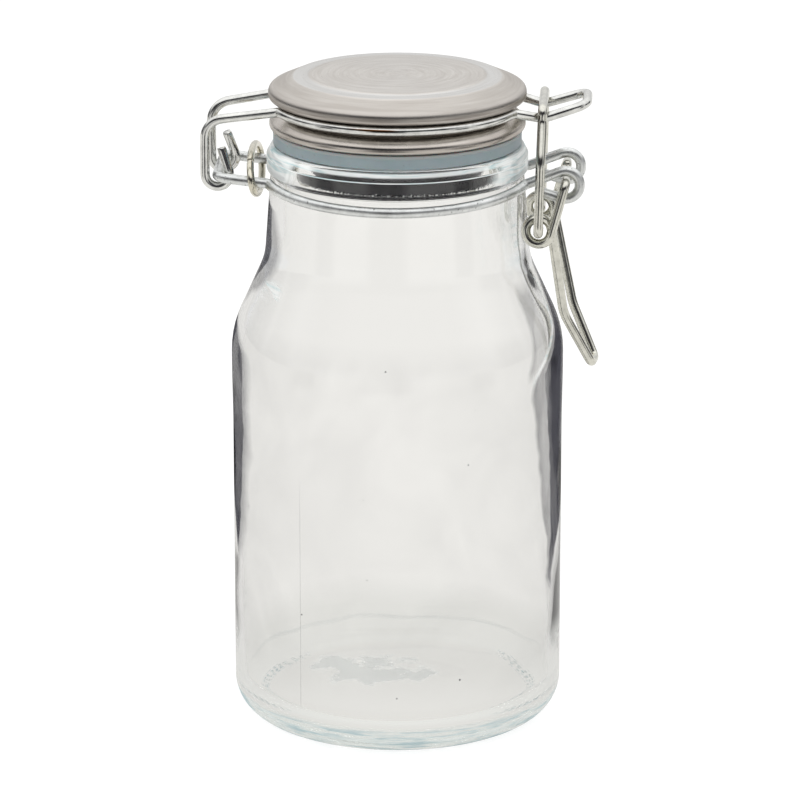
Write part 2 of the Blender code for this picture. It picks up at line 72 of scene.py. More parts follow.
STEP_INNER_FILLET, STEP_OUTER_FILLET = 0.0020, 0.0015
WIRE, NECK_WIRE, CLAMP_WIRE = 0.00117, 0.00127, 0.00090
NECK_RING, BAIL_RING = 0.033069, 0.030464
HINGE_X, HINGE_Z, HINGE_HALF_WIDTH = -0.043669, 0.1403, 0.0120
PIVOT_X, PIVOT_Z, EYE_HALF_WIDTH = 0.041569, 0.1396, 0.0096
NECK_KINK_Z, NECK_FRONT_Z, NECK_BEND, HINGE_BEND = 0.1388, 0.1372, 0.0030, 0.0028
EYE_RADIUS, EYE_LEAN, EYE_TAIL_X, EYE_TAIL_Z = 0.0035, radians(12), 0.0059, 0.0026
CLAMP_PLACE_SHARE, CLAMP_REACH, CLAMP_SLACK = 0.17, 0.0106, 0.0004
CLAMP_RISE, CLAMP_LIFT, CLAMP_LEAN = 0.0052, 0.0006, 0.16
CLAMP_START, CLAMP_SPAN, CLAMP_STEPS = 131.2, 357.6, 96
HOOK_RADIUS, HOOK_START, HOOK_HALF_WIDTH = 0.0030, radians(19.0), 0.0092
HOOK_TAIL, HOOK_TAIL_SPLAY = 0.0060, 0.0010
BAIL_SPLAY, BAIL_ROOT, BAIL_BEND = 0.0115, 0.0100, 0.0030
BAIL_LEG_DROP, BAIL_LEG_BEND = 0.0029, 0.0052
NOSE_REACH, NOSE_DROP, NOSE_RISE = 0.0107, 0.0016, 0.0018
NOSE_ROOT_HALF_WIDTH, NOSE_HALF_WIDTH, NOSE_ROOT_BEND, NOSE_BEND = 0.0080, 0.0070, 0.0050, 0.0048
COIL_X, COIL_Z, COIL_RADIUS = 0.035118, 0.1279, 0.0031
COIL_HALF_WIDTH, COIL_PITCH = 0.0110, 0.0027
PIN_PLAY, PIN_BEND, LEVER_ARM_HALF_WIDTH = 0.0010, 0.0016, 0.0124
HANDLE_KNEE_OUT, HANDLE_KNEE_Z, HANDLE_KNEE_HALF_WIDTH, HANDLE_KNEE_BEND = 0.0011, 0.1053, 0.0064, 0.0140
HANDLE_TIP_OUT, HANDLE_TIP_Z, HANDLE_TIP_HALF_WIDTH, HANDLE_TIP_BEND = 0.0074, 0.0919, 0.0027, 0.0021
HANDLE_TWIST = 0.13
LEG_HALF_WIDTH, LINK_SHOULDER_SHARE, LINK_SHOULDER_BEND = 0.01644, 0.60, 0.0060
LINK_BAR_HALF_WIDTH, LINK_NECK_SHARE, LINK_NECK_BEND, LINK_BAR_BEND = 0.0108, 0.90, 0.0030, 0.0026
SHOULDER_RADIUS = BODY_RADIUS + BULGE
BEAD_FOOT_Z = JAR_HEIGHT - BEAD_HEIGHT
GASKET_Z = JAR_HEIGHT + GAP
FLANGE_Z = GASKET_Z + GASKET_THICKNESS + GAP
HEM_Z = FLANGE_Z + FLANGE_HEIGHT + FLANGE_RISE
BAIL_Z = HEM_Z + GAP + WIRE
LID_EDGE_Z = BAIL_Z + WIRE + GAP + EDGE_ROLL
LID_TOP_Z = LID_EDGE_Z + LID_RISE
LATCH_BAR = (0.0359, 0.15791)

# How finely the shapes are cut
RING_STEP = radians(3)
BEND = radians(6)
GLASS_SEGMENTS, SHEET_SEGMENTS, WIRE_SIDES = 256, 192, 20
GLASS_STEP, WIRE_STEP = 0.0016, 0.0005
LEAST_TURN, LEAST_STEPS, LARGEST_SHARE, SMOOTHINGS = 0.01, 4, 0.49, 3
ON_AXIS = 1e-7
END_CHAMFER = (0.86, 0.97, 1.0)

# The inner wall of the glass is uneven between two heights, and evens out over a distance at each
UNEVEN_FOOT_Z, UNEVEN_FOOT_RUN, UNEVEN_TOP_Z, UNEVEN_TOP_RUN = 0.010, 0.015, 0.136, 0.012
UNEVEN_COARSE, UNEVEN_FINE, FINER = 0.00055, 0.00018, 2.7
UNEVEN_ROUND, UNEVEN_UP = 1.3, 22

FRONT_VIEW_ELEVATION = radians(16.6)


# Shapes

def filleted(corners, step, closed=False):
    """Points through (x, y, z, bend radius) corners, with each corner rounded."""
    points = []
    count = len(corners)
    for i, corner in enumerate(corners):
        here, radius = Vector(corner[:3]), corner[3]
        if radius <= 0 or (not closed and i in (0, count - 1)):
            points.append(here)
            continue
        before = Vector(corners[i - 1][:3]) - here
        after = Vector(corners[(i + 1) % count][:3]) - here
        turn = pi - before.angle(after)
        if turn < LEAST_TURN:
            points.append(here)
            continue
        reach = min(radius * tan(turn / 2), before.length * LARGEST_SHARE, after.length * LARGEST_SHARE)
        radius = reach / tan(turn / 2)
        inward = (before.normalized() + after.normalized()).normalized()
        centre = here + inward * (radius / cos(turn / 2))
        start = here + before.normalized() * reach - centre
        end = here + after.normalized() * reach - centre
        steps = max(LEAST_STEPS, ceil(turn / step))
        for k in range(steps + 1):
            share = k / steps
            left = sin((1 - share) * turn) / sin(turn)
            right = sin(share * turn) / sin(turn)
            points.append(centre + start * left + end * right)
    return points


def outline(corners, closed=False):
    """A profile from (radius, z, fillet) corners, as (radius, z) pairs."""
    path = filleted([(r, 0, z, f) for r, z, f in corners], BEND, closed)
    return [(p.x, p.z) for p in path]


def spaced(profile, longest):
    """An open profile with its long straight runs cut up."""
    out = []
    for a, b in zip(profile, profile[1:]):
        cuts = max(1, ceil(dist(a, b) / longest))
        out += [(a[0] + (b[0] - a[0]) * k / cuts, a[1] + (b[1] - a[1]) * k / cuts) for k in range(cuts)]
    return out + [profile[-1]]


def into_scene(name, data):
    """A new object with the data."""
    obj = bpy.data.objects.new(name, data)
    bpy.context.scene.collection.objects.link(obj)
    return obj


def new_piece(name, verts, faces, finish, uvs=None):
    """A smooth mesh object with one material. uvs gives a face's pairs for the layer named along."""
    mesh = bpy.data.meshes.new(name)
    mesh.from_pydata(verts, [], faces)
    mesh.materials.append(finish)
    mesh.polygons.foreach_set("use_smooth", [True] * len(mesh.polygons))
    if uvs:
        layer = mesh.uv_layers.new(name="along")
        flat = [c for poly in mesh.polygons for c in uvs(poly)]
        layer.data.foreach_set("uv", flat)
    mesh.update()
    return into_scene(name, mesh)


def turned(name, profile, finish, segments=SHEET_SEGMENTS, closed=False, shift=None):
    """A (radius, z) profile turned about the Z axis. shift moves a point: (r, z, angle, index) to (r, z)."""
    verts, rows = [], []
    for i, (r, z) in enumerate(profile):
        if r < ON_AXIS:
            rows.append([len(verts)] * segments)
            verts.append((0, 0, z))
            continue
        row = []
        for k in range(segments):
            angle = 2 * pi * k / segments
            rr, zz = shift(r, z, angle, i) if shift else (r, z)
            row.append(len(verts))
            verts.append((rr * cos(angle), rr * sin(angle), zz))
        rows.append(row)
    faces = []
    count = len(rows)
    for i in range(count if closed else count - 1):
        low, high = rows[i], rows[(i + 1) % count]
        for k in range(segments):
            n = (k + 1) % segments
            faces.append(list(dict.fromkeys((low[k], high[k], high[n], low[n]))))
    return new_piece(name, verts, faces, finish)


def sheet_piece(name, profile, finish):
    """A turned sheet, thickened inwards."""
    obj = turned(name, profile, finish)
    solid = obj.modifiers.new("sheet", "SOLIDIFY")
    solid.thickness = SHEET
    solid.offset = -1.0
    solid.use_even_offset = True
    return obj


def resampled(points):
    """Points along a line at even, short distances, with its sharp turns smoothed over."""
    dense = []
    for a, b in zip(points, points[1:]):
        cuts = max(1, ceil((b - a).length / WIRE_STEP))
        dense += [a.lerp(b, k / cuts) for k in range(cuts)]
    dense.append(points[-1])
    for _ in range(SMOOTHINGS):
        inner = [(p + q * 2 + s) / 4 for p, q, s in zip(dense, dense[1:], dense[2:])]
        dense = [dense[0]] + inner + [dense[-1]]
    return dense


def tube(name, points, radius, finish):
    """A drawn wire along the points, with its cut ends slightly rounded off."""
    sides = WIRE_SIDES
    line = resampled(points)
    tangent = (line[1] - line[0]).normalized()
    normal = tangent.orthogonal().normalized()
    rings, along, travelled = [], [], 0.0
    for i, here in enumerate(line):
        ahead = line[min(i + 1, len(line) - 1)] - line[max(i - 1, 0)]
        turn = tangent.rotation_difference(ahead.normalized())
        normal = turn @ normal
        tangent = ahead.normalized()
        side = tangent.cross(normal).normalized()
        travelled += (here - line[i - 1]).length if i else 0.0
        from_end = min(i, len(line) - 1 - i)
        size = radius * END_CHAMFER[min(from_end, 2)]
        along.append(travelled)
        rings.append([here + (normal * cos(a) + side * sin(a)) * size
                      for a in (2 * pi * k / sides for k in range(sides))])
    verts = [p for ring in rings for p in ring]
    faces = []
    for i in range(len(rings) - 1):
        for k in range(sides):
            n = (k + 1) % sides
            faces.append((i * sides + k, i * sides + n, (i + 1) * sides + n, (i + 1) * sides + k))
    last = (len(rings) - 1) * sides
    faces.append(tuple(reversed(range(sides))))
    faces.append(tuple(last + k for k in range(sides)))

    def uvs(poly):
        pairs = []
        ks = [v % sides for v in poly.vertices]
        wraps = max(ks) - min(ks) > sides / 2
        for v in poly.vertices:
            k = v % sides
            pairs += [along[v // sides], (k + sides if wraps and k < sides / 2 else k) / sides]
        return pairs

    return new_piece(name, verts, faces, finish, uvs)


def arc_xz(centre, radius, start, end, y_start, y_end):
    """Points on an arc in an XZ plane while y moves evenly."""
    steps = max(2, ceil(abs(end - start) / BEND))
    points = []
    for k in range(steps + 1):
        share = k / steps
        angle = start + (end - start) * share
        y = y_start + (y_end - y_start) * share
        points.append(Vector((centre[0] + radius * cos(angle), y, centre[1] + radius * sin(angle))))
    return points


def tangent_angle(centre, radius, outside, side):
    """Angle on a circle of the point whose tangent reaches an outside point."""
    dx, dz = outside[0] - centre[0], outside[1] - centre[1]
    return atan2(dz, dx) + side * acos(radius / hypot(dx, dz))


def mirrored(points):
    """A near half joined to its mirror image across the XZ plane."""
    return points + [Vector((p.x, -p.y, p.z)) for p in reversed(points)]


def glass_outline():
    """The jar's section, from the floor's middle up the inside and down the outside, and how many points are inside."""
    body_inner = BODY_RADIUS - WALL
    shoulder_inner = SHOULDER_RADIUS - WALL
    slope = atan2(SHOULDER_RADIUS - NECK_FOOT_RADIUS, SHOULDER_TOP_Z - SHOULDER_FOOT_Z)
    inner_foot_z = SHOULDER_FOOT_Z - WALL * tan(slope / 2)
    inner_top_z = inner_foot_z + (shoulder_inner - NECK_INNER_RADIUS) / tan(slope)
    floor_z = BASE_RECESS + BASE_THICKNESS
    ring_inner = BODY_RADIUS - HEEL_RADIUS - BASE_RING_WIDTH
    rim_middle = (MOUTH_RADIUS + RIM_RADIUS) / 2
    inside = outline([
        (0, floor_z, 0),
        (body_inner, floor_z, HEEL_INNER_RADIUS),
        (body_inner, BULGE_FOOT_Z, BULGE_ARC),
        (shoulder_inner, BULGE_TOP_Z, BULGE_ARC),
        (shoulder_inner, inner_foot_z, SHOULDER_ARC - WALL),
        (NECK_INNER_RADIUS, inner_top_z, NECK_FILLET + WALL),
        (MOUTH_RADIUS, JAR_HEIGHT, RIM_FILLET),
        (rim_middle, JAR_HEIGHT, 0),
    ])
    outside = outline([
        (rim_middle, JAR_HEIGHT, 0),
        (RIM_RADIUS, JAR_HEIGHT, RIM_FILLET),
        (BEAD_RADIUS, JAR_HEIGHT - BEAD_CHAMFER, BEAD_EDGE),
        (BEAD_RADIUS, BEAD_FOOT_Z, BEAD_FILLET),
        (GROOVE_RADIUS, BEAD_FOOT_Z - BEAD_UNDERCUT, BEAD_FILLET),
        (NECK_FOOT_RADIUS, SHOULDER_TOP_Z, NECK_FILLET),
        (SHOULDER_RADIUS, SHOULDER_FOOT_Z, SHOULDER_ARC),
        (SHOULDER_RADIUS, BULGE_TOP_Z, BULGE_ARC),
        (BODY_RADIUS, BULGE_FOOT_Z, BULGE_ARC),
        (BODY_RADIUS, 0, HEEL_RADIUS),
        (ring_inner, 0, RING_ARC),
        (ring_inner * RECESS_SHARE, BASE_RECESS, RECESS_ARC),
        (0, BASE_RECESS, 0),
    ])
    inside = spaced(inside, GLASS_STEP)
    outside = spaced(outside, GLASS_STEP)
    return inside[:-1] + outside, len(inside) - 1


def glass_piece(finish):
    """The jar, its inner wall gently uneven as in pressed and blown glass. Its attribute skin is 1 on the outside."""
    profile, inner_count = glass_outline()

    def shift(r, z, angle, i):
        if i >= inner_count:
            return r, z
        above = min(max((z - UNEVEN_FOOT_Z) / UNEVEN_FOOT_RUN, 0), 1)
        below = min(max((UNEVEN_TOP_Z - z) / UNEVEN_TOP_RUN, 0), 1)
        spot = Vector((cos(angle) * UNEVEN_ROUND, sin(angle) * UNEVEN_ROUND, z * UNEVEN_UP))
        coarse = noise.noise(spot + Vector((3.1, 0.4, 7.7)))
        fine = noise.noise(spot * FINER + Vector((1.2, 5.1, 0.3)))
        return r + above * below * (UNEVEN_COARSE * coarse + UNEVEN_FINE * fine), z

    piece = turned("glass_body", profile, finish, segments=GLASS_SEGMENTS, shift=shift)
    skin = piece.data.attributes.new("skin", "FLOAT", "POINT")
    outside = []
    for i, (r, z) in enumerate(profile):
        outside += [float(i >= inner_count)] * (1 if r < ON_AXIS else GLASS_SEGMENTS)
    skin.data.foreach_set("value", outside)
    return piece


def gasket_outline():
    """The seal's closed section: a flat ring with a shallow step in its side, and a collar round the plug."""
    inner = PLUG_RADIUS + GAP
    collar = inner + COLLAR_WALL
    top = GASKET_Z + GASKET_THICKNESS
    foot = GASKET_Z - COLLAR_DEPTH
    return outline([
        (inner, top, GASKET_EDGE),
        (GASKET_RADIUS, top, GASKET_LIP),
        (GASKET_RADIUS, GASKET_Z + GASKET_STEP_TOP, GASKET_FILLET),
        (GASKET_RADIUS - GASKET_STEP, GASKET_Z + GASKET_STEP_FOOT, GASKET_FILLET),
        (GASKET_RADIUS - GASKET_STEP, GASKET_Z, GASKET_FILLET),
        (collar, GASKET_Z, COLLAR_FILLET),
        (collar, foot, COLLAR_FILLET),
        (inner, foot, GASKET_FILLET),
    ], closed=True)


def lid_base_outline():
    """The lower pressing, from the waist over the flange and down the plug to its middle."""
    plug_z = JAR_HEIGHT - PLUG_DEPTH
    return outline([
        (WAIST_RADIUS - HEM_OVERLAP, HEM_Z, 0),
        (WAIST_RADIUS, HEM_Z, FLANGE_FILLET),
        (FLANGE_RADIUS, FLANGE_Z + FLANGE_HEIGHT * FLANGE_WIDEST_SHARE, FLANGE_SIDE_FILLET),
        (FLANGE_RADIUS, FLANGE_Z, FLANGE_FOOT_FILLET),
        (PLUG_RADIUS, FLANGE_Z, SHEET),
        (PLUG_RADIUS, plug_z, PLUG_FILLET),
        (0, plug_z, 0),
    ])


def lid_top_outline():
    """The upper pressing, from the middle of its disc over the stepped ring and the rolled edge to the waist."""
    ring_z = LID_TOP_Z - STEP_DROP
    under_z = LID_EDGE_Z - EDGE_ROLL
    return outline([
        (0, LID_TOP_Z, 0),
        (STEP_INNER_RADIUS - STEP_RUN_IN, LID_TOP_Z, STEP_INNER_FILLET),
        (STEP_INNER_RADIUS + STEP_RUN_OUT, ring_z, STEP_INNER_FILLET),
        (STEP_OUTER_RADIUS, ring_z, STEP_OUTER_FILLET),
        (STEP_OUTER_RADIUS + STEP_RUN_OUT, ring_z - RING_DROP, STEP_OUTER_FILLET),
        (LID_RADIUS, LID_TOP_Z - LID_EDGE_DROP, LID_EDGE_FILLET),
        (LID_RADIUS, under_z, LID_UNDER_FILLET),
        (WAIST_RADIUS, under_z, SHEET),
        (WAIST_RADIUS, HEM_Z + GAP, 0),
    ])


def neck_wire_line():
    """Tail and eye at the latch, round the neck to the closed loop at the hinge, and back."""
    half = EYE_HALF_WIDTH
    eye = (PIVOT_X, PIVOT_Z + WIRE + GAP + NECK_WIRE - EYE_RADIUS * cos(EYE_LEAN))
    tail = (PIVOT_X - EYE_TAIL_X, PIVOT_Z - EYE_TAIL_Z)
    kink_angle = -asin(half / NECK_RING)
    kink = (NECK_RING * cos(kink_angle), NECK_KINK_Z)
    start = tangent_angle(eye, EYE_RADIUS, tail, 1)
    end = tangent_angle(eye, EYE_RADIUS, kink, -1) + 2 * pi
    loop = arc_xz(eye, EYE_RADIUS, start, end, -half, -half)
    last = pi - asin(HINGE_HALF_WIDTH / NECK_RING)
    ring = [(kink[0], -half, NECK_KINK_Z, NECK_BEND)]
    span = last + kink_angle
    steps = ceil(span / RING_STEP)
    for k in range(1, steps):
        angle = kink_angle - span * k / steps
        lift = (1 + sin(angle)) / (1 + sin(kink_angle))
        z = NECK_FRONT_Z + (NECK_KINK_Z - NECK_FRONT_Z) * min(lift, 1)
        ring.append((NECK_RING * cos(angle), NECK_RING * sin(angle), z, 0))
    ring.append((NECK_RING * cos(last), -HINGE_HALF_WIDTH, NECK_KINK_Z, NECK_BEND))
    ring.append((HINGE_X, -HINGE_HALF_WIDTH, HINGE_Z, HINGE_BEND))
    ring.append((HINGE_X, 0, HINGE_Z, 0))
    path = filleted([(*loop[-1], 0)] + ring, BEND)
    return mirrored([Vector((tail[0], -half, tail[1]))] + loop + path[1:-1])


def clamp_line():
    """An oval ring, open by a hair, round both strands of the hinge loop."""
    half = HINGE_HALF_WIDTH + NECK_WIRE + CLAMP_WIRE + CLAMP_SLACK
    x = -(NECK_RING + CLAMP_REACH * CLAMP_PLACE_SHARE)
    z = NECK_KINK_Z + (HINGE_Z - NECK_KINK_Z) * CLAMP_PLACE_SHARE
    points = []
    for k in range(CLAMP_STEPS + 1):
        angle = radians(CLAMP_START + CLAMP_SPAN * k / CLAMP_STEPS)
        rise = CLAMP_RISE * sin(angle)
        points.append(Vector((x - rise * CLAMP_LEAN, half * cos(angle), z + CLAMP_LIFT + rise)))
    return points


def bail_line():
    """Hook on the hinge bar, leg, round the lid's waist to the nose, and back."""
    half = HOOK_HALF_WIDTH
    hook = arc_xz((HINGE_X, HINGE_Z), HOOK_RADIUS, HOOK_START, -pi, -half, -half)
    direction = Vector((-sin(HOOK_START), 0, cos(HOOK_START)))
    tail = hook[0] + direction * HOOK_TAIL + Vector((0, HOOK_TAIL_SPLAY, 0))
    first = pi - asin(BAIL_SPLAY / BAIL_RING)
    last = asin(BAIL_ROOT / BAIL_RING)
    nose_x, nose_z = LATCH_BAR[0] + NOSE_REACH, BAIL_Z + NOSE_RISE
    corners = [(*hook[-1], 0), (HINGE_X - HOOK_RADIUS, -half, BAIL_Z - BAIL_LEG_DROP, BAIL_LEG_BEND)]
    corners.append((BAIL_RING * cos(first), -BAIL_SPLAY, BAIL_Z, BAIL_BEND))
    steps = ceil((first - last) / RING_STEP)
    for k in range(1, steps):
        angle = first + (last - first) * k / steps
        corners.append((BAIL_RING * cos(angle), -BAIL_RING * sin(angle), BAIL_Z, 0))
    corners += [
        (BAIL_RING * cos(last), -BAIL_ROOT, BAIL_Z, BAIL_BEND),
        (LATCH_BAR[0], -NOSE_ROOT_HALF_WIDTH, BAIL_Z - NOSE_DROP, NOSE_ROOT_BEND),
        (nose_x, -NOSE_HALF_WIDTH, nose_z, NOSE_BEND),
        (nose_x, 0, nose_z, 0),
    ]
    path = filleted(corners, BEND)
    return mirrored([tail] + hook + path[1:-1])


def lever_line():
    """Pin in the eye, arm, coil and the hanging handle, and back. The handle is slightly twisted."""
    coil = (COIL_X, COIL_Z)
    pin_end = -(EYE_HALF_WIDTH - NECK_WIRE - PIN_PLAY)
    knee_x = SHOULDER_RADIUS + HANDLE_KNEE_OUT
    start = tangent_angle(coil, COIL_RADIUS, (PIVOT_X, PIVOT_Z), -1)
    end = tangent_angle(coil, COIL_RADIUS, (knee_x, HANDLE_KNEE_Z), 1) - 2 * pi
    turn = arc_xz(coil, COIL_RADIUS, start, end, -(COIL_HALF_WIDTH + COIL_PITCH), -COIL_HALF_WIDTH)
    arm = filleted([
        (PIVOT_X, pin_end, PIVOT_Z, 0),
        (PIVOT_X, -LEVER_ARM_HALF_WIDTH, PIVOT_Z, PIN_BEND),
        (*turn[0], 0),
    ], BEND)
    tip_x = SHOULDER_RADIUS + HANDLE_TIP_OUT
    handle = filleted([
        (*turn[-1], 0),
        (knee_x, -HANDLE_KNEE_HALF_WIDTH, HANDLE_KNEE_Z, HANDLE_KNEE_BEND),
        (tip_x, -HANDLE_TIP_HALF_WIDTH, HANDLE_TIP_Z, HANDLE_TIP_BEND),
        (tip_x, 0, HANDLE_TIP_Z, 0),
    ], BEND)
    half = arm[:-1] + turn
    loop = [Vector((p.x + HANDLE_TWIST * p.y, p.y, p.z)) for p in mirrored(handle[1:-1])]
    return half + loop + [Vector((p.x, -p.y, p.z)) for p in reversed(half)]


def link_line():
    """Foot in the coil, leg and the bar over the bail's nose, and back."""
    pin_end = -(COIL_HALF_WIDTH - WIRE - PIN_PLAY)
    foot = Vector((COIL_X, 0, COIL_Z))
    top = Vector((LATCH_BAR[0], 0, LATCH_BAR[1]))
    shoulder, neck = foot.lerp(top, LINK_SHOULDER_SHARE), foot.lerp(top, LINK_NECK_SHARE)
    return mirrored(filleted([
        (foot.x, pin_end, foot.z, 0),
        (foot.x, -LEG_HALF_WIDTH, foot.z, PIN_BEND),
        (shoulder.x, -LEG_HALF_WIDTH, shoulder.z, LINK_SHOULDER_BEND),
        (neck.x, -LINK_BAR_HALF_WIDTH, neck.z, LINK_NECK_BEND),
        (top.x, -LINK_BAR_HALF_WIDTH, top.z, LINK_BAR_BEND),
        (top.x, 0, top.z, 0),
    ], BEND)[:-1])


# Materials

class Nodes:
    """A small helper to write node trees as expressions."""

    def __init__(self, owner):
        self.owner = owner
        owner.use_nodes = True
        self.tree = owner.node_tree
        self.tree.nodes.clear()

    def add(self, kind, settings=None, **inputs):
        node = self.tree.nodes.new("ShaderNode" + kind)
        for key, value in (settings or {}).items():
            setattr(node, key, value)
        for key, value in inputs.items():
            numbered = key[0] == "i" and key[1:].isdigit()
            self.put(node.inputs[int(key[1:]) if numbered else key.replace("_", " ")], value)
        return node

    def put(self, socket, value):
        if isinstance(value, bpy.types.Node):
            value = value.outputs[0]
        if isinstance(value, bpy.types.NodeSocket):
            self.tree.links.new(value, socket)
        else:
            socket.default_value = (*value, 1.0) if socket.type == "RGBA" else value

    def math(self, operation, a, b=0.0, c=0.0, clamp=False):
        return self.add("Math", {"operation": operation, "use_clamp": clamp}, i0=a, i1=b, i2=c).outputs[0]

    def times(self, first, *others):
        for other in others:
            first = self.math("MULTIPLY", first, other)
        return first

    def plus(self, a, b, clamp=False):
        return self.math("ADD", a, b, clamp=clamp)

    def minus(self, a, b, clamp=False):
        return self.math("SUBTRACT", a, b, clamp=clamp)

    def rest(self, value, clamp=False):
        """What is left of 1."""
        return self.math("SUBTRACT", 1.0, value, clamp=clamp)

    def larger(self, first, *others):
        for other in others:
            first = self.math("MAXIMUM", first, other)
        return first

    def line(self, value, slope, offset, clamp=True):
        """slope * value + offset, kept within 0 to 1 unless clamp is False."""
        return self.math("MULTIPLY_ADD", value, slope, offset, clamp=clamp)

    def gap(self, value, centre):
        """Distance from a centre."""
        return self.math("ABSOLUTE", self.minus(value, centre))

    def length(self, a, b):
        return self.math("SQRT", self.plus(self.times(a, a), self.times(b, b)))

    def ramp(self, fac, stops):
        node = self.add("ValToRGB", Fac=fac)
        elements = node.color_ramp.elements
        while len(elements) < len(stops):
            elements.new(0.5)
        for element, (place, value) in zip(elements, stops):
            element.position = place
            element.color = (value, value, value, 1.0)
        return node.outputs[0]

    def mix(self, fac, a, b):
        node = self.add("Mix", {"data_type": "RGBA", "blend_type": "MIX"})
        for index, value in ((0, fac), (6, a), (7, b)):
            self.put(node.inputs[index], value)
        return node.outputs[2]

    def blend(self, fac, first, second):
        """A mix of two shaders."""
        return self.add("MixShader", i0=fac, i1=first, i2=second)

    def noise(self, vector, scale, detail=2.0, roughness=0.5, distortion=0.0):
        return self.add("TexNoise", Vector=vector, Scale=scale, Detail=detail,
                        Roughness=roughness, Distortion=distortion).outputs[0]

    def place(self):
        return self.add("TexCoord").outputs["Object"]

    def split(self, vector):
        return tuple(self.add("SeparateXYZ", Vector=vector).outputs)

    def join(self, x, y, z=0.0):
        return self.add("CombineXYZ", X=x, Y=y, Z=z).outputs[0]

    def scaled(self, g, round_scale, up_scale):
        """Object coordinates stretched evenly in plan and by another scale in height."""
        return self.join(self.times(g.x, round_scale), self.times(g.y, round_scale), self.times(g.z, up_scale))

    def done(self, shader, volume=None):
        out = self.add("OutputMaterial", Surface=shader)
        if volume:
            self.put(out.inputs["Volume"], volume)
        return self.owner


def new_material(name):
    return Nodes(bpy.data.materials.new(name))


def band(n, value, centre, soft):
    """0 below centre and 1 above it, over a width of 2 * soft."""
    return n.line(n.minus(value, centre), 0.5 / soft, 0.5)


def between(n, value, low, low_soft, high, high_soft):
    """1 between two values and 0 outside them."""
    return n.times(band(n, value, low, low_soft), n.rest(band(n, value, high, high_soft)))


RAMP_HEIGHT_MM = 150


def height_curve(n, z, stops):
    """A number that follows the height, from (millimetres, number) stops."""
    return n.ramp(n.times(z, 1000 / RAMP_HEIGHT_MM), [(mm / RAMP_HEIGHT_MM, float(value)) for mm, value in stops])


def edge_on(n):
    """How edge-on the skin is seen in plan, as from a low eye level: 0 face-on, 1 at the outline."""
    nx, ny, nz = n.split(n.add("NewGeometry").outputs["Normal"])
    flat = n.math("SQRT", n.larger(n.plus(n.times(nx, nx), n.times(ny, ny)), 0.0001))
    plan = n.join(n.math("DIVIDE", nx, flat), n.math("DIVIDE", ny, flat))
    across = n.rest(n.add("LayerWeight", Blend=0.5, Normal=plan).outputs["Facing"])
    upright = n.join(0.0, 0.0, 1.0)
    steep = n.rest(n.add("LayerWeight", Blend=0.5, Normal=upright).outputs["Facing"])
    level = n.math("SQRT", n.larger(n.rest(n.times(steep, steep)), 0.01))
    seen = n.math("DIVIDE", across, level, clamp=True)
    face = n.plus(n.times(flat, seen, cos(FRONT_VIEW_ELEVATION)),
                  n.times(n.math("ABSOLUTE", nz), sin(FRONT_VIEW_ELEVATION)))
    return n.rest(face, clamp=True)


# Glass. Its outer skin is painted darker towards the outline, a painted shade that stands in for dark surroundings. The
# curves give, by height in millimetres, how edge-on the outer skin is seen where a painted strip starts or ends, and
# how much sooner the grey strip starts than the dark one. A window is a weight by height.
EDGE_SCALE = 1.25
LEFT_START = [(28, 0.72), (36, 0.70), (42, 0.68), (46, 0.63), (51, 0.60), (56, 0.59), (70, 0.55), (97, 0.52),
              (101, 0.62), (104, 0.76), (110, 0.74), (113, 0.66), (119, 0.60), (124, 0.58), (128, 0.59), (132, 0.60),
              (135, 1.0)]
LEFT_END = [(28, 0.60), (36, 0.60), (42, 0.62), (46, 0.66), (51, 0.70), (56, 0.75), (66, 0.90), (74, 1.0)]
LEFT_GREY = [(60, 0.08), (95, 0.08), (104, 0.04), (110, 0.14), (114, 0.20), (126, 0.17), (132, 0.08)]
RIGHT_START = [(24, 0.70), (32, 0.62), (40, 0.51), (46, 0.53), (50, 0.56), (60, 0.53), (80, 0.49), (87.5, 0.475),
               (93, 0.46), (98, 0.53), (103, 0.60), (108, 0.66), (113, 0.70), (117, 0.72), (121, 1.0)]
RIGHT_END = [(24, 0.60), (32, 0.56), (40, 0.56), (46, 0.60), (50, 0.67), (58, 0.79), (68, 0.95), (76, 1.0)]
RIGHT_GREY = [(44, 0.03), (56, 0.11), (88, 0.13), (95, 0.06), (120, 0.05)]
SHOULDER_WEIGHT = [(80, 0.0), (88, 1.0), (118, 1.0), (126, 0.3)]
SWEEP = [(90, 0.44), (94, 0.50), (98, 0.58), (103, 0.69), (108, 0.74), (113.5, 0.74), (118, 0.60)]
SWEEP_WINDOW = [(91, 0.0), (95, 1.0), (112, 1.0), (117, 0.0)]
LEFT_STREAK_WINDOW = [(110.5, 0.0), (112, 1.0), (114.5, 1.0), (116, 0.0)]
RIGHT_RUN_WINDOW = [(116, 0.0), (123, 1.0), (136, 1.0), (139, 0.0)]
SEAM_ANGLE = radians(-122.6)
SEAM_SHARPNESS, SEAM_FOOT_Z, SEAM_TOP_Z = 190.0, 0.012, 0.070
SPECK_CELLS, SPECK_CHOSEN, SPECK_FOOT_Z, SPECK_TOP_Z = 1.9, 0.52, 0.016, 0.118
# Heights of the painted shade line under the bead, the painted pale rim band and the painted white highlight line
BEAD_LINE_Z, RIM_BAND_FOOT_Z, RIM_BAND_TOP_Z, WHITE_LINE_Z = 0.1404, 0.1454, 0.1463, 0.14422
BASE_TOP_Z, PALE_FOOT_Z, WALL_TOP_Z = 0.018, 0.036, 0.1025
GLASS_IOR = 1.5
BASE_TINT_RADIUS, DOTS_INNER_RADIUS, DOTS_OUTER_RADIUS = 0.0350, 0.0338, 0.0372
DOTS_FROM_X, DOTS_TOP_Z = 0.027, 0.006
HEEL_FROM_RADIUS, HEEL_TOP_Z = 0.0280, 0.0075
BACK_ARC_FOOT_Z, BACK_ARC_TOP_Z = 0.0098, 0.0110
MARK_X, MARK_Y, MARK_TOP_Z = -0.0085, 0.009, 0.0068


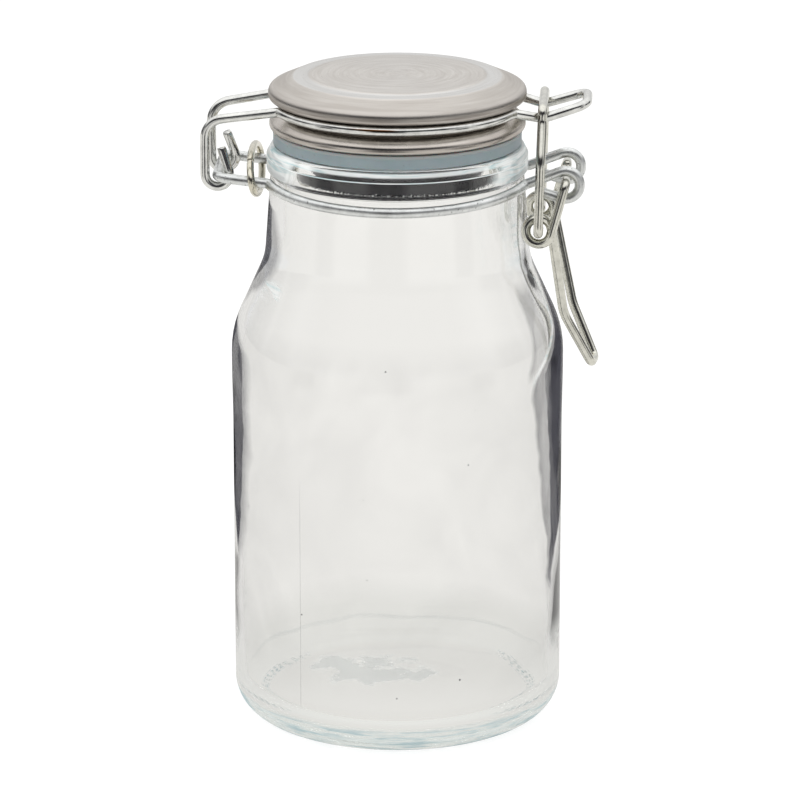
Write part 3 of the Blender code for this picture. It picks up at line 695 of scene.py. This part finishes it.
def glass_inputs(n):
    """Places, directions and noises that several parts of the glass share."""
    g = SimpleNamespace(place=n.place())
    g.x, g.y, g.z = n.split(g.place)
    g.turn = n.math("ARCTAN2", g.y, g.x)
    g.radius = n.length(g.x, g.y)
    skin = n.add("Attribute", {"attribute_name": "skin"}).outputs["Fac"]
    back = n.add("NewGeometry").outputs["Backfacing"]
    g.skin = skin
    g.outer = n.times(skin, n.rest(back))
    g.leaving = n.times(skin, back, n.rest(band(n, g.z, BASE_TOP_Z, 0.004)))
    g.facing = edge_on(n)
    g.wobble = n.noise(n.scaled(g, 26.0, 26.0), 1.0, 3.0, 0.60, 0.8)
    g.wavy = n.line(g.wobble, 0.22, n.minus(g.facing, 0.11), clamp=False)
    g.side = n.line(g.x, 30.0, 0.5)
    g.streak = n.noise(n.scaled(g, 60.0, 22.0), 1.0, 2.0, 0.5, 1.0)
    flow = n.join(n.line(g.x, 42.0, 2.7, clamp=False), n.times(g.y, 42.0), n.times(g.z, 17.0))
    g.sharp = band(n, n.noise(flow, 1.0, 2.0, 0.5, 1.6), 0.48, 0.030)
    return g


def side_curve(n, g, left, right):
    """A height curve for the hinge's half that gives way to another on the latch's half."""
    return n.mix(g.side, height_curve(n, g.z, left), height_curve(n, g.z, right))


def edge_strips(n, g):
    """Painted shade towards the outline: a dark strip, a grey one beside it and a faint fall-off."""
    start = n.times(side_curve(n, g, LEFT_START, RIGHT_START), EDGE_SCALE)
    end = n.times(side_curve(n, g, LEFT_END, RIGHT_END), EDGE_SCALE)
    begin = n.minus(start, side_curve(n, g, LEFT_GREY, RIGHT_GREY))
    before_end = n.rest(band(n, g.wavy, end, 0.02))
    low = n.line(band(n, g.z, PALE_FOOT_Z, 0.012), 0.70, 0.30, clamp=False)
    grey = n.mix(g.side, n.times(band(n, g.wavy, begin, 0.065), 0.95), band(n, g.wavy, begin, 0.02))
    grey = n.times(grey, before_end, n.line(g.streak, 1.6, 0.25), low)
    dark = n.times(band(n, g.wavy, start, 0.012), before_end, n.line(g.streak, 1.6, 0.40), low)
    shoulder = height_curve(n, g.z, SHOULDER_WEIGHT)
    held = n.times(n.rest(g.sharp), n.line(shoulder, 0.12, 0.08, clamp=False))
    held = n.larger(held, n.times(band(n, g.facing, 0.86, 0.04), g.side, 0.22))
    dark = n.minus(dark, n.times(dark, held))
    falling = n.times(n.line(g.facing, 1.0, -0.05), 0.20)
    return n.larger(n.times(dark, 0.92), n.times(grey, 0.56), falling)


def painted_shoulder_sweep(n, g):
    """A painted highlight sweeping over the latch's shoulder, and a painted grey crescent of shade inside it."""
    calm = n.line(g.wobble, 0.10, n.minus(g.facing, 0.05), clamp=False)
    window = n.times(g.side, height_curve(n, g.z, SWEEP_WINDOW))
    glint = n.rest(n.times(n.gap(calm, height_curve(n, g.z, SWEEP)), 30.0), clamp=True)
    crescent = n.times(between(n, calm, 0.42, 0.02, 0.575, 0.03), window, n.line(g.sharp, 0.14, 0.28, clamp=False))
    return n.times(glint, window), crescent


def glass_marks(n, g):
    """The mould seam, some specks, and a painted dark line of shade under the bead."""
    seam = n.rest(n.times(n.gap(g.turn, SEAM_ANGLE), SEAM_SHARPNESS), clamp=True)
    seam = n.times(seam, between(n, g.z, SEAM_FOOT_Z, 0.002, SEAM_TOP_Z, 0.010), 0.32)
    wall_uv = n.join(n.plus(g.turn, 7.3), n.times(g.z, 24.4))
    cells = n.add("TexVoronoi", {"voronoi_dimensions": "2D"}, Vector=wall_uv, Scale=SPECK_CELLS, Randomness=1.0)
    chosen, size, _ = n.split(cells.outputs["Color"])
    speck = n.math("LESS_THAN", cells.outputs["Distance"], n.line(size, 0.008, 0.005, clamp=False))
    speck = n.times(speck, n.math("GREATER_THAN", chosen, SPECK_CHOSEN),
                    between(n, g.z, SPECK_FOOT_Z, 0.001, SPECK_TOP_Z, 0.001), 0.75)
    # painted shade: a dark line under the bead, where its foot refracts dark
    bead_foot_shade = n.times(n.minus(1.5, n.times(n.gap(g.z, BEAD_LINE_Z), 6000.0), clamp=True), 0.75)
    return n.larger(seam, speck, bead_foot_shade)


def painted_highlights(n, g, glint):
    """Painted highlights and reflections, as a pale diffuse: the rim's band, a white line round the bead, the bead's
    sides, the sweep and pale teal streaks towards the outline.
    """
    rim = n.times(between(n, g.z, RIM_BAND_FOOT_Z, 0.0002, RIM_BAND_TOP_Z, 0.0001),
                  n.line(g.wobble, 0.8, 0.36, clamp=False))
    line = n.times(n.minus(1.6, n.times(n.gap(g.z, WHITE_LINE_Z), 9000.0), clamp=True), 0.95)
    bead = band(n, g.wavy, n.line(g.streak, 0.5, 0.16, clamp=False), 0.05)
    bead = n.times(bead, band(n, g.z, BEAD_LINE_Z, 0.0004), 0.62)
    # painted reflections: pale teal streaks towards the outline, on the hinge's side of the neck and as a run on the
    # latch's side
    pale_streak = n.times(between(n, g.wavy, 0.42, 0.03, 0.62, 0.03),
                   n.minus(height_curve(n, g.z, LEFT_STREAK_WINDOW), g.side, clamp=True))
    streak_flow = n.join(n.times(g.x, 90.0), n.times(g.y, 90.0), n.line(g.x, 500.0, n.times(g.z, 1000.0), clamp=False))
    pale_streak = n.times(pale_streak, band(n, n.noise(streak_flow, 1.0, 1.0), 0.5, 0.04))
    run = n.times(between(n, g.wavy, 0.30, 0.06, 0.62, 0.03), n.times(height_curve(n, g.z, RIGHT_RUN_WINDOW), g.side))
    pale_streak = n.times(n.larger(pale_streak, n.times(run, n.line(g.streak, 5.0, -2.2))), 0.40)
    return n.times(n.larger(rim, line, bead, n.times(glint, 0.55), pale_streak), g.outer)


def frost_and_painted_arc(n, g):
    """Streaks on the heel, small dots under it and a painted highlight arc behind the floor: their amount and their
    tone.
    """
    ripple = n.noise(n.join(n.times(g.turn, 3.0), n.times(g.z, 900.0)), 1.0, 3.0, 0.6)
    heel = n.times(band(n, g.radius, HEEL_FROM_RADIUS, 0.001), n.rest(band(n, g.z, HEEL_TOP_Z, 0.0008)), g.outer)
    heel = n.times(heel, n.line(ripple, 5.0, -1.7), 0.80)
    cells = n.add("TexVoronoi", {"voronoi_dimensions": "2D"}, Scale=1.0, Randomness=0.45,
                  Vector=n.join(n.times(g.turn, 12.0), n.times(g.radius, 1100.0)))
    dots = n.times(between(n, g.radius, DOTS_INNER_RADIUS, 0.0003, DOTS_OUTER_RADIUS, 0.0003),
                   n.math("LESS_THAN", cells.outputs["Distance"], 0.34),
                   band(n, n.math("ABSOLUTE", g.x), DOTS_FROM_X, 0.003),
                   g.leaving, n.rest(band(n, g.z, DOTS_TOP_Z, 0.0005)), 0.9)
    # painted highlight: a white line on the far skin behind the inner floor
    arc = n.times(between(n, g.z, BACK_ARC_FOOT_Z, 0.0004, BACK_ARC_TOP_Z, 0.0003), g.leaving,
                  n.line(g.wobble, 0.5, -0.12))
    tone = n.mix(n.line(ripple, 7.0, -3.3), (0.83, 0.87, 0.855), (0.46, 0.60, 0.64))
    return n.times(n.larger(heel, dots, arc), g.skin), n.mix(arc, tone, (1.0, 1.0, 1.0))


def water_mark(n, g):
    """A faint, ragged deposit on the inner floor."""
    ragged = n.noise(n.join(n.plus(g.x, 0.009), n.minus(g.y, MARK_Y)), 90.0, 3.0, 0.55)
    reach = n.plus(n.math("POWER", n.times(n.minus(g.x, MARK_X), 62.0), 2.0),
                   n.math("POWER", n.times(n.minus(g.y, MARK_Y), 75.0), 2.0))
    mark = band(n, n.minus(ragged, n.times(reach, 0.22)), 0.38, 0.05)
    inner_floor = n.times(n.rest(g.skin), n.rest(band(n, g.z, MARK_TOP_Z, 0.0003)))
    return n.times(mark, inner_floor, 0.45)


def glass_material():
    """Clear glass whose outer skin is painted darker where it is seen edge-on, a painted shade that stands in for dark
    surroundings beyond a backdrop of limited width.
    """
    n = new_material("clear_glass")
    g = glass_inputs(n)
    glint, crescent = painted_shoulder_sweep(n, g)
    # painted shade: the share of the outer skin turned to the dark refraction, with a faint darker mottle on the wall
    amount = n.times(n.larger(edge_strips(n, g), crescent), n.rest(glint))
    mottle = n.line(n.noise(g.place, 30.0, 2.0, 0.5, 1.8), 0.16, -0.018)
    amount = n.plus(amount, n.times(between(n, g.z, BASE_TOP_Z, 0.004, WALL_TOP_Z, 0.0030), mottle), clamp=True)
    amount = n.times(n.larger(amount, glass_marks(n, g)), g.outer)
    waves = n.plus(n.noise(g.place, 60.0, 2.0), n.times(n.noise(g.place, 900.0, 2.0), 0.05))
    bump = n.add("Bump", Strength=0.10, Distance=0.0002, Height=waves)
    clear = n.add("BsdfPrincipled", Base_Color=(0.99, 0.99, 0.985), Roughness=0.015, IOR=GLASS_IOR,
                  Transmission_Weight=1.0, Normal=bump)
    # painted shade: the nearly black refraction that the painted strips and marks turn to
    dark = n.add("BsdfRefraction", Color=(0.075, 0.075, 0.092), Roughness=0.05, IOR=GLASS_IOR)
    look = n.blend(amount, clear, dark)
    lines = n.noise(n.scaled(g, 60.0, 700.0), 1.0, 3.0, 0.5, 1.6)
    tone = n.mix(n.line(lines, 6.0, -2.9), (0.93, 0.96, 0.96), (0.55, 0.74, 0.77))
    # painted highlights and reflections, as a pale diffuse
    look = n.blend(painted_highlights(n, g, glint), look, n.add("BsdfDiffuse", Color=tone))
    # light leaves the base straight on, so that its thick glass stays clear
    tint = n.mix(band(n, g.radius, BASE_TINT_RADIUS, 0.0020), (0.840, 0.838, 0.825), (0.872, 0.880, 0.868))
    look = n.blend(n.times(g.leaving, 0.97), look, n.add("BsdfTransparent", Color=tint))
    frost_and_arc, frost_and_arc_tone = frost_and_painted_arc(n, g)
    look = n.blend(frost_and_arc, look, n.add("BsdfDiffuse", Color=frost_and_arc_tone))
    look = n.blend(water_mark(n, g), look, n.add("BsdfDiffuse", Color=(0.70, 0.73, 0.72)))
    # shadows go through it
    through = n.add("BsdfTransparent", Color=(0.96, 0.965, 0.965))
    look = n.blend(n.add("LightPath").outputs["Is Shadow Ray"], look, through)
    volume = n.add("VolumeAbsorption", Color=(0.76, 0.90, 0.89), Density=5.0)
    return n.done(look, volume)


# Steel
GROOVES_PER_METRE = 4200.0
SLOPE_RADIUS, ROLL_TOP_Z = STEP_OUTER_RADIUS + 0.0004, LID_EDGE_Z + 0.0012
# where the plug's wall is painted dark as shade, and the heights of its painted highlight line
PLUG_FACE_RADIUS, PLUG_TOP_Z = 0.0229, 0.1470
PLUG_LINE_FOOT_Z, PLUG_LINE_TOP_Z, PLUG_LINE_RAGGED = 0.13818, 0.1385, 0.0024


def top_finish(n, g, mixed, rough):
    """A pale ring round the disc, a darker slope outside it and brown streaks on the rolled edge."""
    ring = n.times(between(n, g.radius, STEP_INNER_RADIUS, 0.0003, STEP_OUTER_RADIUS, 0.0002),
                   n.line(g.coarse, 0.5, 0.35, clamp=False))
    mixed = n.mix(ring, mixed, (0.71, 0.715, 0.71))
    slope = n.times(band(n, g.radius, SLOPE_RADIUS, 0.0004), 0.16)
    mixed = n.mix(slope, mixed, (0.10, 0.07, 0.05))
    rough = n.line(slope, 0.75, rough, clamp=False)
    streaks = n.noise(n.join(n.times(g.turn_x, 3.0), n.times(g.turn_y, 3.0), n.times(g.z, 2600.0)), 1.0, 3.0, 0.6)
    roll = n.times(n.rest(band(n, g.z, ROLL_TOP_Z, 0.0007)), n.line(streaks, 3.0, -1.2), 0.75)
    return n.mix(roll, mixed, (0.24, 0.19, 0.16)), rough


def plug_painted_shade(n, g, mixed, rough):
    """The plug's wall painted nearly black, a painted shade for how it looks through the neck, with a painted bright
    and ragged highlight line at its foot.
    """
    plug = n.rest(band(n, g.z, PLUG_TOP_Z, 0.0004))
    ragged = n.line(n.noise(g.place, 2600.0, 2.0, 0.7), PLUG_LINE_RAGGED, PLUG_LINE_TOP_Z, clamp=False)
    low = n.times(n.rest(band(n, g.z, ragged, 0.00015)), band(n, g.z, PLUG_LINE_FOOT_Z, 0.00012))
    # painted shade nearly black, with a painted white highlight line at the foot
    wall = n.mix(low, (0.014, 0.013, 0.016), (1.0, 1.0, 1.0))
    plug = n.times(plug, band(n, g.radius, PLUG_FACE_RADIUS, 0.0002))
    return n.mix(plug, mixed, wall), n.line(plug, -0.12, rough, clamp=False)


def steel_material(name, light, dark, roughness, part_finish):
    """Spun and brushed steel, with grooves that run round the axis."""
    n = new_material(name)
    g = SimpleNamespace(place=n.place())
    x, y, g.z = n.split(g.place)
    g.radius = n.length(x, y)
    angle = n.math("ARCTAN2", y, x)
    g.turn_x = n.math("COSINE", angle)
    g.turn_y = n.math("SINE", angle)
    run = n.plus(n.times(g.radius, GROOVES_PER_METRE), n.times(g.z, GROOVES_PER_METRE))
    grooves = n.noise(n.join(n.times(g.turn_x, 1.8), n.times(g.turn_y, 1.8), run), 1.0, 3.0, 0.65)
    g.coarse = n.noise(n.join(n.times(g.turn_x, 1.4), n.times(g.turn_y, 1.4), n.times(run, 0.26)), 1.0, 3.0, 0.6)
    stain = n.noise(g.place, 70.0, 3.0)
    mixed = n.mix(n.line(g.coarse, 3.0, -1.05), dark, light)
    mixed = n.mix(n.math("MULTIPLY", n.minus(grooves, 0.3), 0.5, clamp=True), mixed, tuple(c * 0.72 for c in dark))
    mixed = n.mix(n.times(stain, 0.16), mixed, tuple(c * 0.8 for c in dark))
    rough = n.line(grooves, 0.20, roughness - 0.10, clamp=False)
    mixed, rough = part_finish(n, g, mixed, rough)
    bump = n.add("Bump", Strength=0.25, Distance=0.00003, Height=grooves)
    tangent = n.add("Tangent", {"direction_type": "RADIAL", "axis": "Z"})
    return n.done(n.add("BsdfPrincipled", Base_Color=mixed, Metallic=1.0, Roughness=rough,
                        Anisotropic=0.65, Tangent=tangent, Normal=bump))


# Wire. The brown stain is on the front of the bail, at a place along x and with a half width.
STAIN_X, STAIN_HALF_WIDTH, STAIN_Z = -0.0042, 0.0066, BAIL_Z + 0.00040


def wire_stain(n, place, lines):
    """A brown spot on the wire's front, ragged along the drawn lines."""
    x, y, z = n.split(place)
    across = n.math("ABSOLUTE", n.math("DIVIDE", n.minus(x, STAIN_X), STAIN_HALF_WIDTH))
    high = n.rest(n.times(n.gap(z, STAIN_Z), 3600.0), clamp=True)
    spot = n.times(n.rest(across, clamp=True), n.times(n.math("LESS_THAN", y, 0.0), high))
    return n.math("MULTIPLY", spot, n.line(lines, 14.0, -3.0, clamp=False), clamp=True)


def wire_material(name, colour, roughness, pits=0.3, stained=False):
    """Drawn and zinc-plated wire: fine lines along it, small pits and dull patches."""
    n = new_material(name)
    place = n.place()
    u, v, _ = n.split(n.add("UVMap", {"uv_map": "along"}))
    lines = n.noise(n.join(n.times(u, 160.0), n.times(v, 26.0)), 1.0, 3.0, 0.6)
    patches = n.noise(place, 420.0, 4.0, 0.6)
    specks = n.math("GREATER_THAN", n.noise(place, 1500.0, 1.0), 0.70)
    tone = n.mix(n.line(patches, 1.7, -0.40), tuple(c * 0.62 for c in colour), colour)
    tone = n.mix(n.times(specks, pits), tone, tuple(c * 0.35 for c in colour))
    if stained:
        tone = n.mix(wire_stain(n, place, lines), tone, (0.30, 0.12, 0.03))
    rough = n.line(patches, 0.20, roughness - 0.10, clamp=False)
    height = n.plus(n.times(patches, 0.6), n.times(lines, 0.5))
    bump = n.add("Bump", Strength=roughness, Distance=0.00004, Height=height)
    return n.done(n.add("BsdfPrincipled", Base_Color=tone, Metallic=1.0, Roughness=rough, Normal=bump))


def gasket_material():
    """Grey translucent silicone, slightly cloudy, with its top painted paler as lit from above, and a few specks."""
    n = new_material("seal_silicone")
    place = n.place()
    cloud = n.noise(place, 300.0, 3.0)
    specks = n.math("GREATER_THAN", n.noise(place, 1800.0, 1.0), 0.73)
    # painted light: the top above the step paler, as lit from above
    lit_top = band(n, n.split(place)[2], GASKET_Z + GASKET_THICKNESS * 0.78, 0.0003)
    tone = n.mix(cloud, (0.32, 0.40, 0.43), (0.42, 0.50, 0.53))
    tone = n.mix(lit_top, tone, (0.45, 0.48, 0.48))
    tone = n.mix(n.times(specks, 0.35), tone, (0.12, 0.13, 0.13))
    bump = n.add("Bump", Strength=0.15, Distance=0.00005, Height=cloud)
    return n.done(n.add("BsdfPrincipled", Base_Color=tone, Roughness=0.42, IOR=1.41, Transmission_Weight=0.25,
                        Subsurface_Weight=0.35, Subsurface_Scale=0.002, Normal=bump))


# Pieces

glass = glass_material()
top_steel = steel_material("lid_top_steel", (0.755, 0.725, 0.685), (0.61, 0.575, 0.535), 0.30, top_finish)
base_steel = steel_material("lid_base_steel", (0.68, 0.635, 0.59), (0.46, 0.42, 0.38), 0.26, plug_painted_shade)
bail_zinc = wire_material("bail_zinc", (0.90, 0.90, 0.87), 0.17, stained=True)
neck_zinc = wire_material("neck_wire_zinc", (0.98, 1.0, 0.99), 0.38, pits=0.9)
clamp_zinc = wire_material("clamp_zinc", (0.83, 0.79, 0.66), 0.18)
lever_zinc = wire_material("lever_zinc", (0.84, 0.83, 0.75), 0.16)
link_zinc = wire_material("link_zinc", (0.84, 0.83, 0.755), 0.16)
silicone = gasket_material()

# (piece, CAD node, body, material slot)
made = [
    (glass_piece(glass), "glass_jar", "jar", "clear_glass"),
    (tube("neck_wire_drawn", neck_wire_line(), NECK_WIRE, neck_zinc), "neck_wire", "jar", "neck_wire_zinc"),
    (tube("clamp_ring_drawn", clamp_line(), CLAMP_WIRE, clamp_zinc), "clamp_ring", "jar", "clamp_zinc"),
    (tube("lid_bail_drawn", bail_line(), WIRE, bail_zinc), "lid_bail", "bail", "bail_zinc"),
    (sheet_piece("lid_top_spun", lid_top_outline(), top_steel), "lid_top", "lid", "lid_top_steel"),
    (sheet_piece("lid_base_spun", lid_base_outline(), base_steel), "lid_base", "lid", "lid_base_steel"),
    (turned("gasket_ring", gasket_outline(), silicone, closed=True), "lid_gasket", "lid", "seal_silicone"),
    (tube("latch_lever_drawn", lever_line(), WIRE, lever_zinc), "latch_lever", "lever", "lever_zinc"),
    (tube("latch_link_drawn", link_line(), WIRE, link_zinc), "latch_link", "link", "link_zinc"),
]
for piece, node, body, slot in made:
    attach(piece, body)
    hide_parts(node)


# Studio. A compass direction is in degrees from the camera's side, with the angles where an effect is full and gone.
CAMERA_SIDE = (-6, 12, 20)
FLOOR_GAPS, FLOOR_GAP_WIDTH = (62, 298), (5, 11)
WALL_GAPS, WALL_GAP_WIDTH = (90, 118, 242, 270), (8, 16)
HIGH_GAP = (-6, 55, 80)
FLOOR_HALF, FLOOR_DROP, FRONT_DARK_FROM, SIDE_DARK_FROM = 3, 0.0001, 0.42, 0.40


def azimuth_part(n, x, y, flat, degrees, full, none):
    """1 within full degrees of a compass direction and 0 beyond none degrees."""
    angle = radians(degrees)
    along = n.plus(n.times(x, sin(angle)), n.times(y, -cos(angle)))
    high, low = cos(radians(full)), cos(radians(none))
    return n.line(n.math("DIVIDE", along, flat), 1 / (high - low), -low / (high - low))


def floor_material():
    """White floor that keeps a faint shadow, and is a little greyer where glass and metal show it."""
    n = new_material("studio_floor")
    path = n.add("LightPath").outputs
    x, y, _ = n.split(n.place())
    far = n.larger(n.length(x, y), 0.0001)
    shade = n.times(azimuth_part(n, x, y, far, *CAMERA_SIDE), band(n, far, FRONT_DARK_FROM, 0.05))
    for degrees in FLOOR_GAPS:
        strip = azimuth_part(n, x, y, far, degrees, *FLOOR_GAP_WIDTH)
        shade = n.larger(shade, n.times(strip, band(n, far, SIDE_DARK_FROM, 0.05)))
    tone = n.mix(shade, (0.92, 0.91, 0.885), (0.06, 0.06, 0.065))
    diffuse = n.add("BsdfDiffuse", Color=(0.80, 0.80, 0.79))
    glass_side = n.add("Emission", Color=(0.905, 0.890, 0.866), Strength=1.0)
    metal_side = n.add("Emission", Color=tone, Strength=1.0)
    white = n.add("Emission", Color=(1.0, 1.0, 1.0), Strength=0.80)
    faint = n.add("BsdfDiffuse", Color=(0.28, 0.28, 0.28))
    sharp = n.blend(path["Is Transmission Ray"], metal_side, glass_side)
    other = n.blend(n.larger(path["Is Glossy Ray"], path["Is Transmission Ray"]), diffuse, sharp)
    seen = n.add("AddShader", i0=white, i1=faint)
    return n.done(n.blend(path["Is Camera Ray"], other, seen))


def studio_world():
    """White for the camera. Metal sees pale walls with dark gaps between them, and a bright ceiling."""
    world = bpy.data.worlds.new("studio")
    bpy.context.scene.world = world
    n = Nodes(world)
    x, y, z = n.split(n.add("TexCoord").outputs["Generated"])
    flat = n.math("SQRT", n.larger(n.rest(n.times(z, z)), 0.0001))
    height = n.line(z, 0.5, 0.5, clamp=False)
    gap = n.ramp(height, [(0.50, 0.0), (0.59, 1.0), (0.78, 1.0), (0.86, 0.0)])
    gap = n.times(gap, azimuth_part(n, x, y, flat, *HIGH_GAP))
    low = n.ramp(height, [(0.0, 1.0), (0.62, 1.0), (0.70, 0.0)])
    for degrees in WALL_GAPS:
        gap = n.larger(gap, n.times(azimuth_part(n, x, y, flat, degrees, *WALL_GAP_WIDTH), low))
    gap = n.larger(gap, n.times(azimuth_part(n, x, y, flat, *CAMERA_SIDE), low))
    wall = n.ramp(height, [(0.0, 0.60), (0.50, 0.66), (0.60, 0.82), (0.80, 1.04), (0.93, 1.25), (1.0, 1.25)])
    metal = n.mix(gap, wall, (0.04, 0.04, 0.045))
    through_glass = n.ramp(height, [(0.0, 0.90), (0.50, 0.91), (0.60, 0.90), (0.75, 0.90), (1.0, 0.94)])
    path = n.add("LightPath").outputs
    colour = n.mix(path["Is Transmission Ray"], metal, through_glass)
    colour = n.mix(path["Is Diffuse Ray"], colour, (0.93, 0.93, 0.92))
    colour = n.mix(path["Is Camera Ray"], colour, (1.0, 1.0, 1.0))
    n.add("OutputWorld", Surface=n.add("Background", Color=colour))


def studio():
    """Floor, world and one soft lamp that glass and metal don't show."""
    half = FLOOR_HALF
    corners = [(-half, -half, 0), (half, -half, 0), (half, half, 0), (-half, half, 0)]
    floor = new_piece("studio_floor", corners, [(0, 1, 2, 3)], floor_material())
    floor.location.z = -FLOOR_DROP
    studio_world()
    data = bpy.data.lights.new("overhead", "AREA")
    data.size = 0.6
    data.energy = 2.5
    lamp = into_scene("overhead", data)
    lamp.location = (-0.15, -0.1, 0.9)
    lamp.visible_glossy = False
    lamp.visible_transmission = False


# Camera, fitted to the photograph: 5000 pixels of focal length on an 800 pixel frame
VIEW_AZIMUTH = radians(3.0)
SENSOR_WIDTH, FOCAL_LENGTH = 36.0, 225.0
VIEW_CENTRE_Z, VIEW_DISTANCE, VIEW_SHIFT = 0.0806, 1.2481, 0.000624


def camera():
    level = cos(FRONT_VIEW_ELEVATION)
    back = Vector((sin(VIEW_AZIMUTH) * level, -cos(VIEW_AZIMUTH) * level, sin(FRONT_VIEW_ELEVATION)))
    right = Vector((cos(VIEW_AZIMUTH), sin(VIEW_AZIMUTH), 0))
    data = bpy.data.cameras.new("photo_camera")
    data.sensor_width = SENSOR_WIDTH
    data.lens = FOCAL_LENGTH
    data.clip_start = 0.05
    data.clip_end = 20.0
    obj = into_scene("photo_camera", data)
    obj.location = Vector((0, 0, VIEW_CENTRE_Z)) + back * VIEW_DISTANCE + right * VIEW_SHIFT
    obj.rotation_euler = (-back).to_track_quat("-Z", "Y").to_euler()
    bpy.context.scene.camera = obj


studio()
camera()
bpy.context.scene.view_settings.view_transform = "Standard"
bpy.context.view_layer.update()
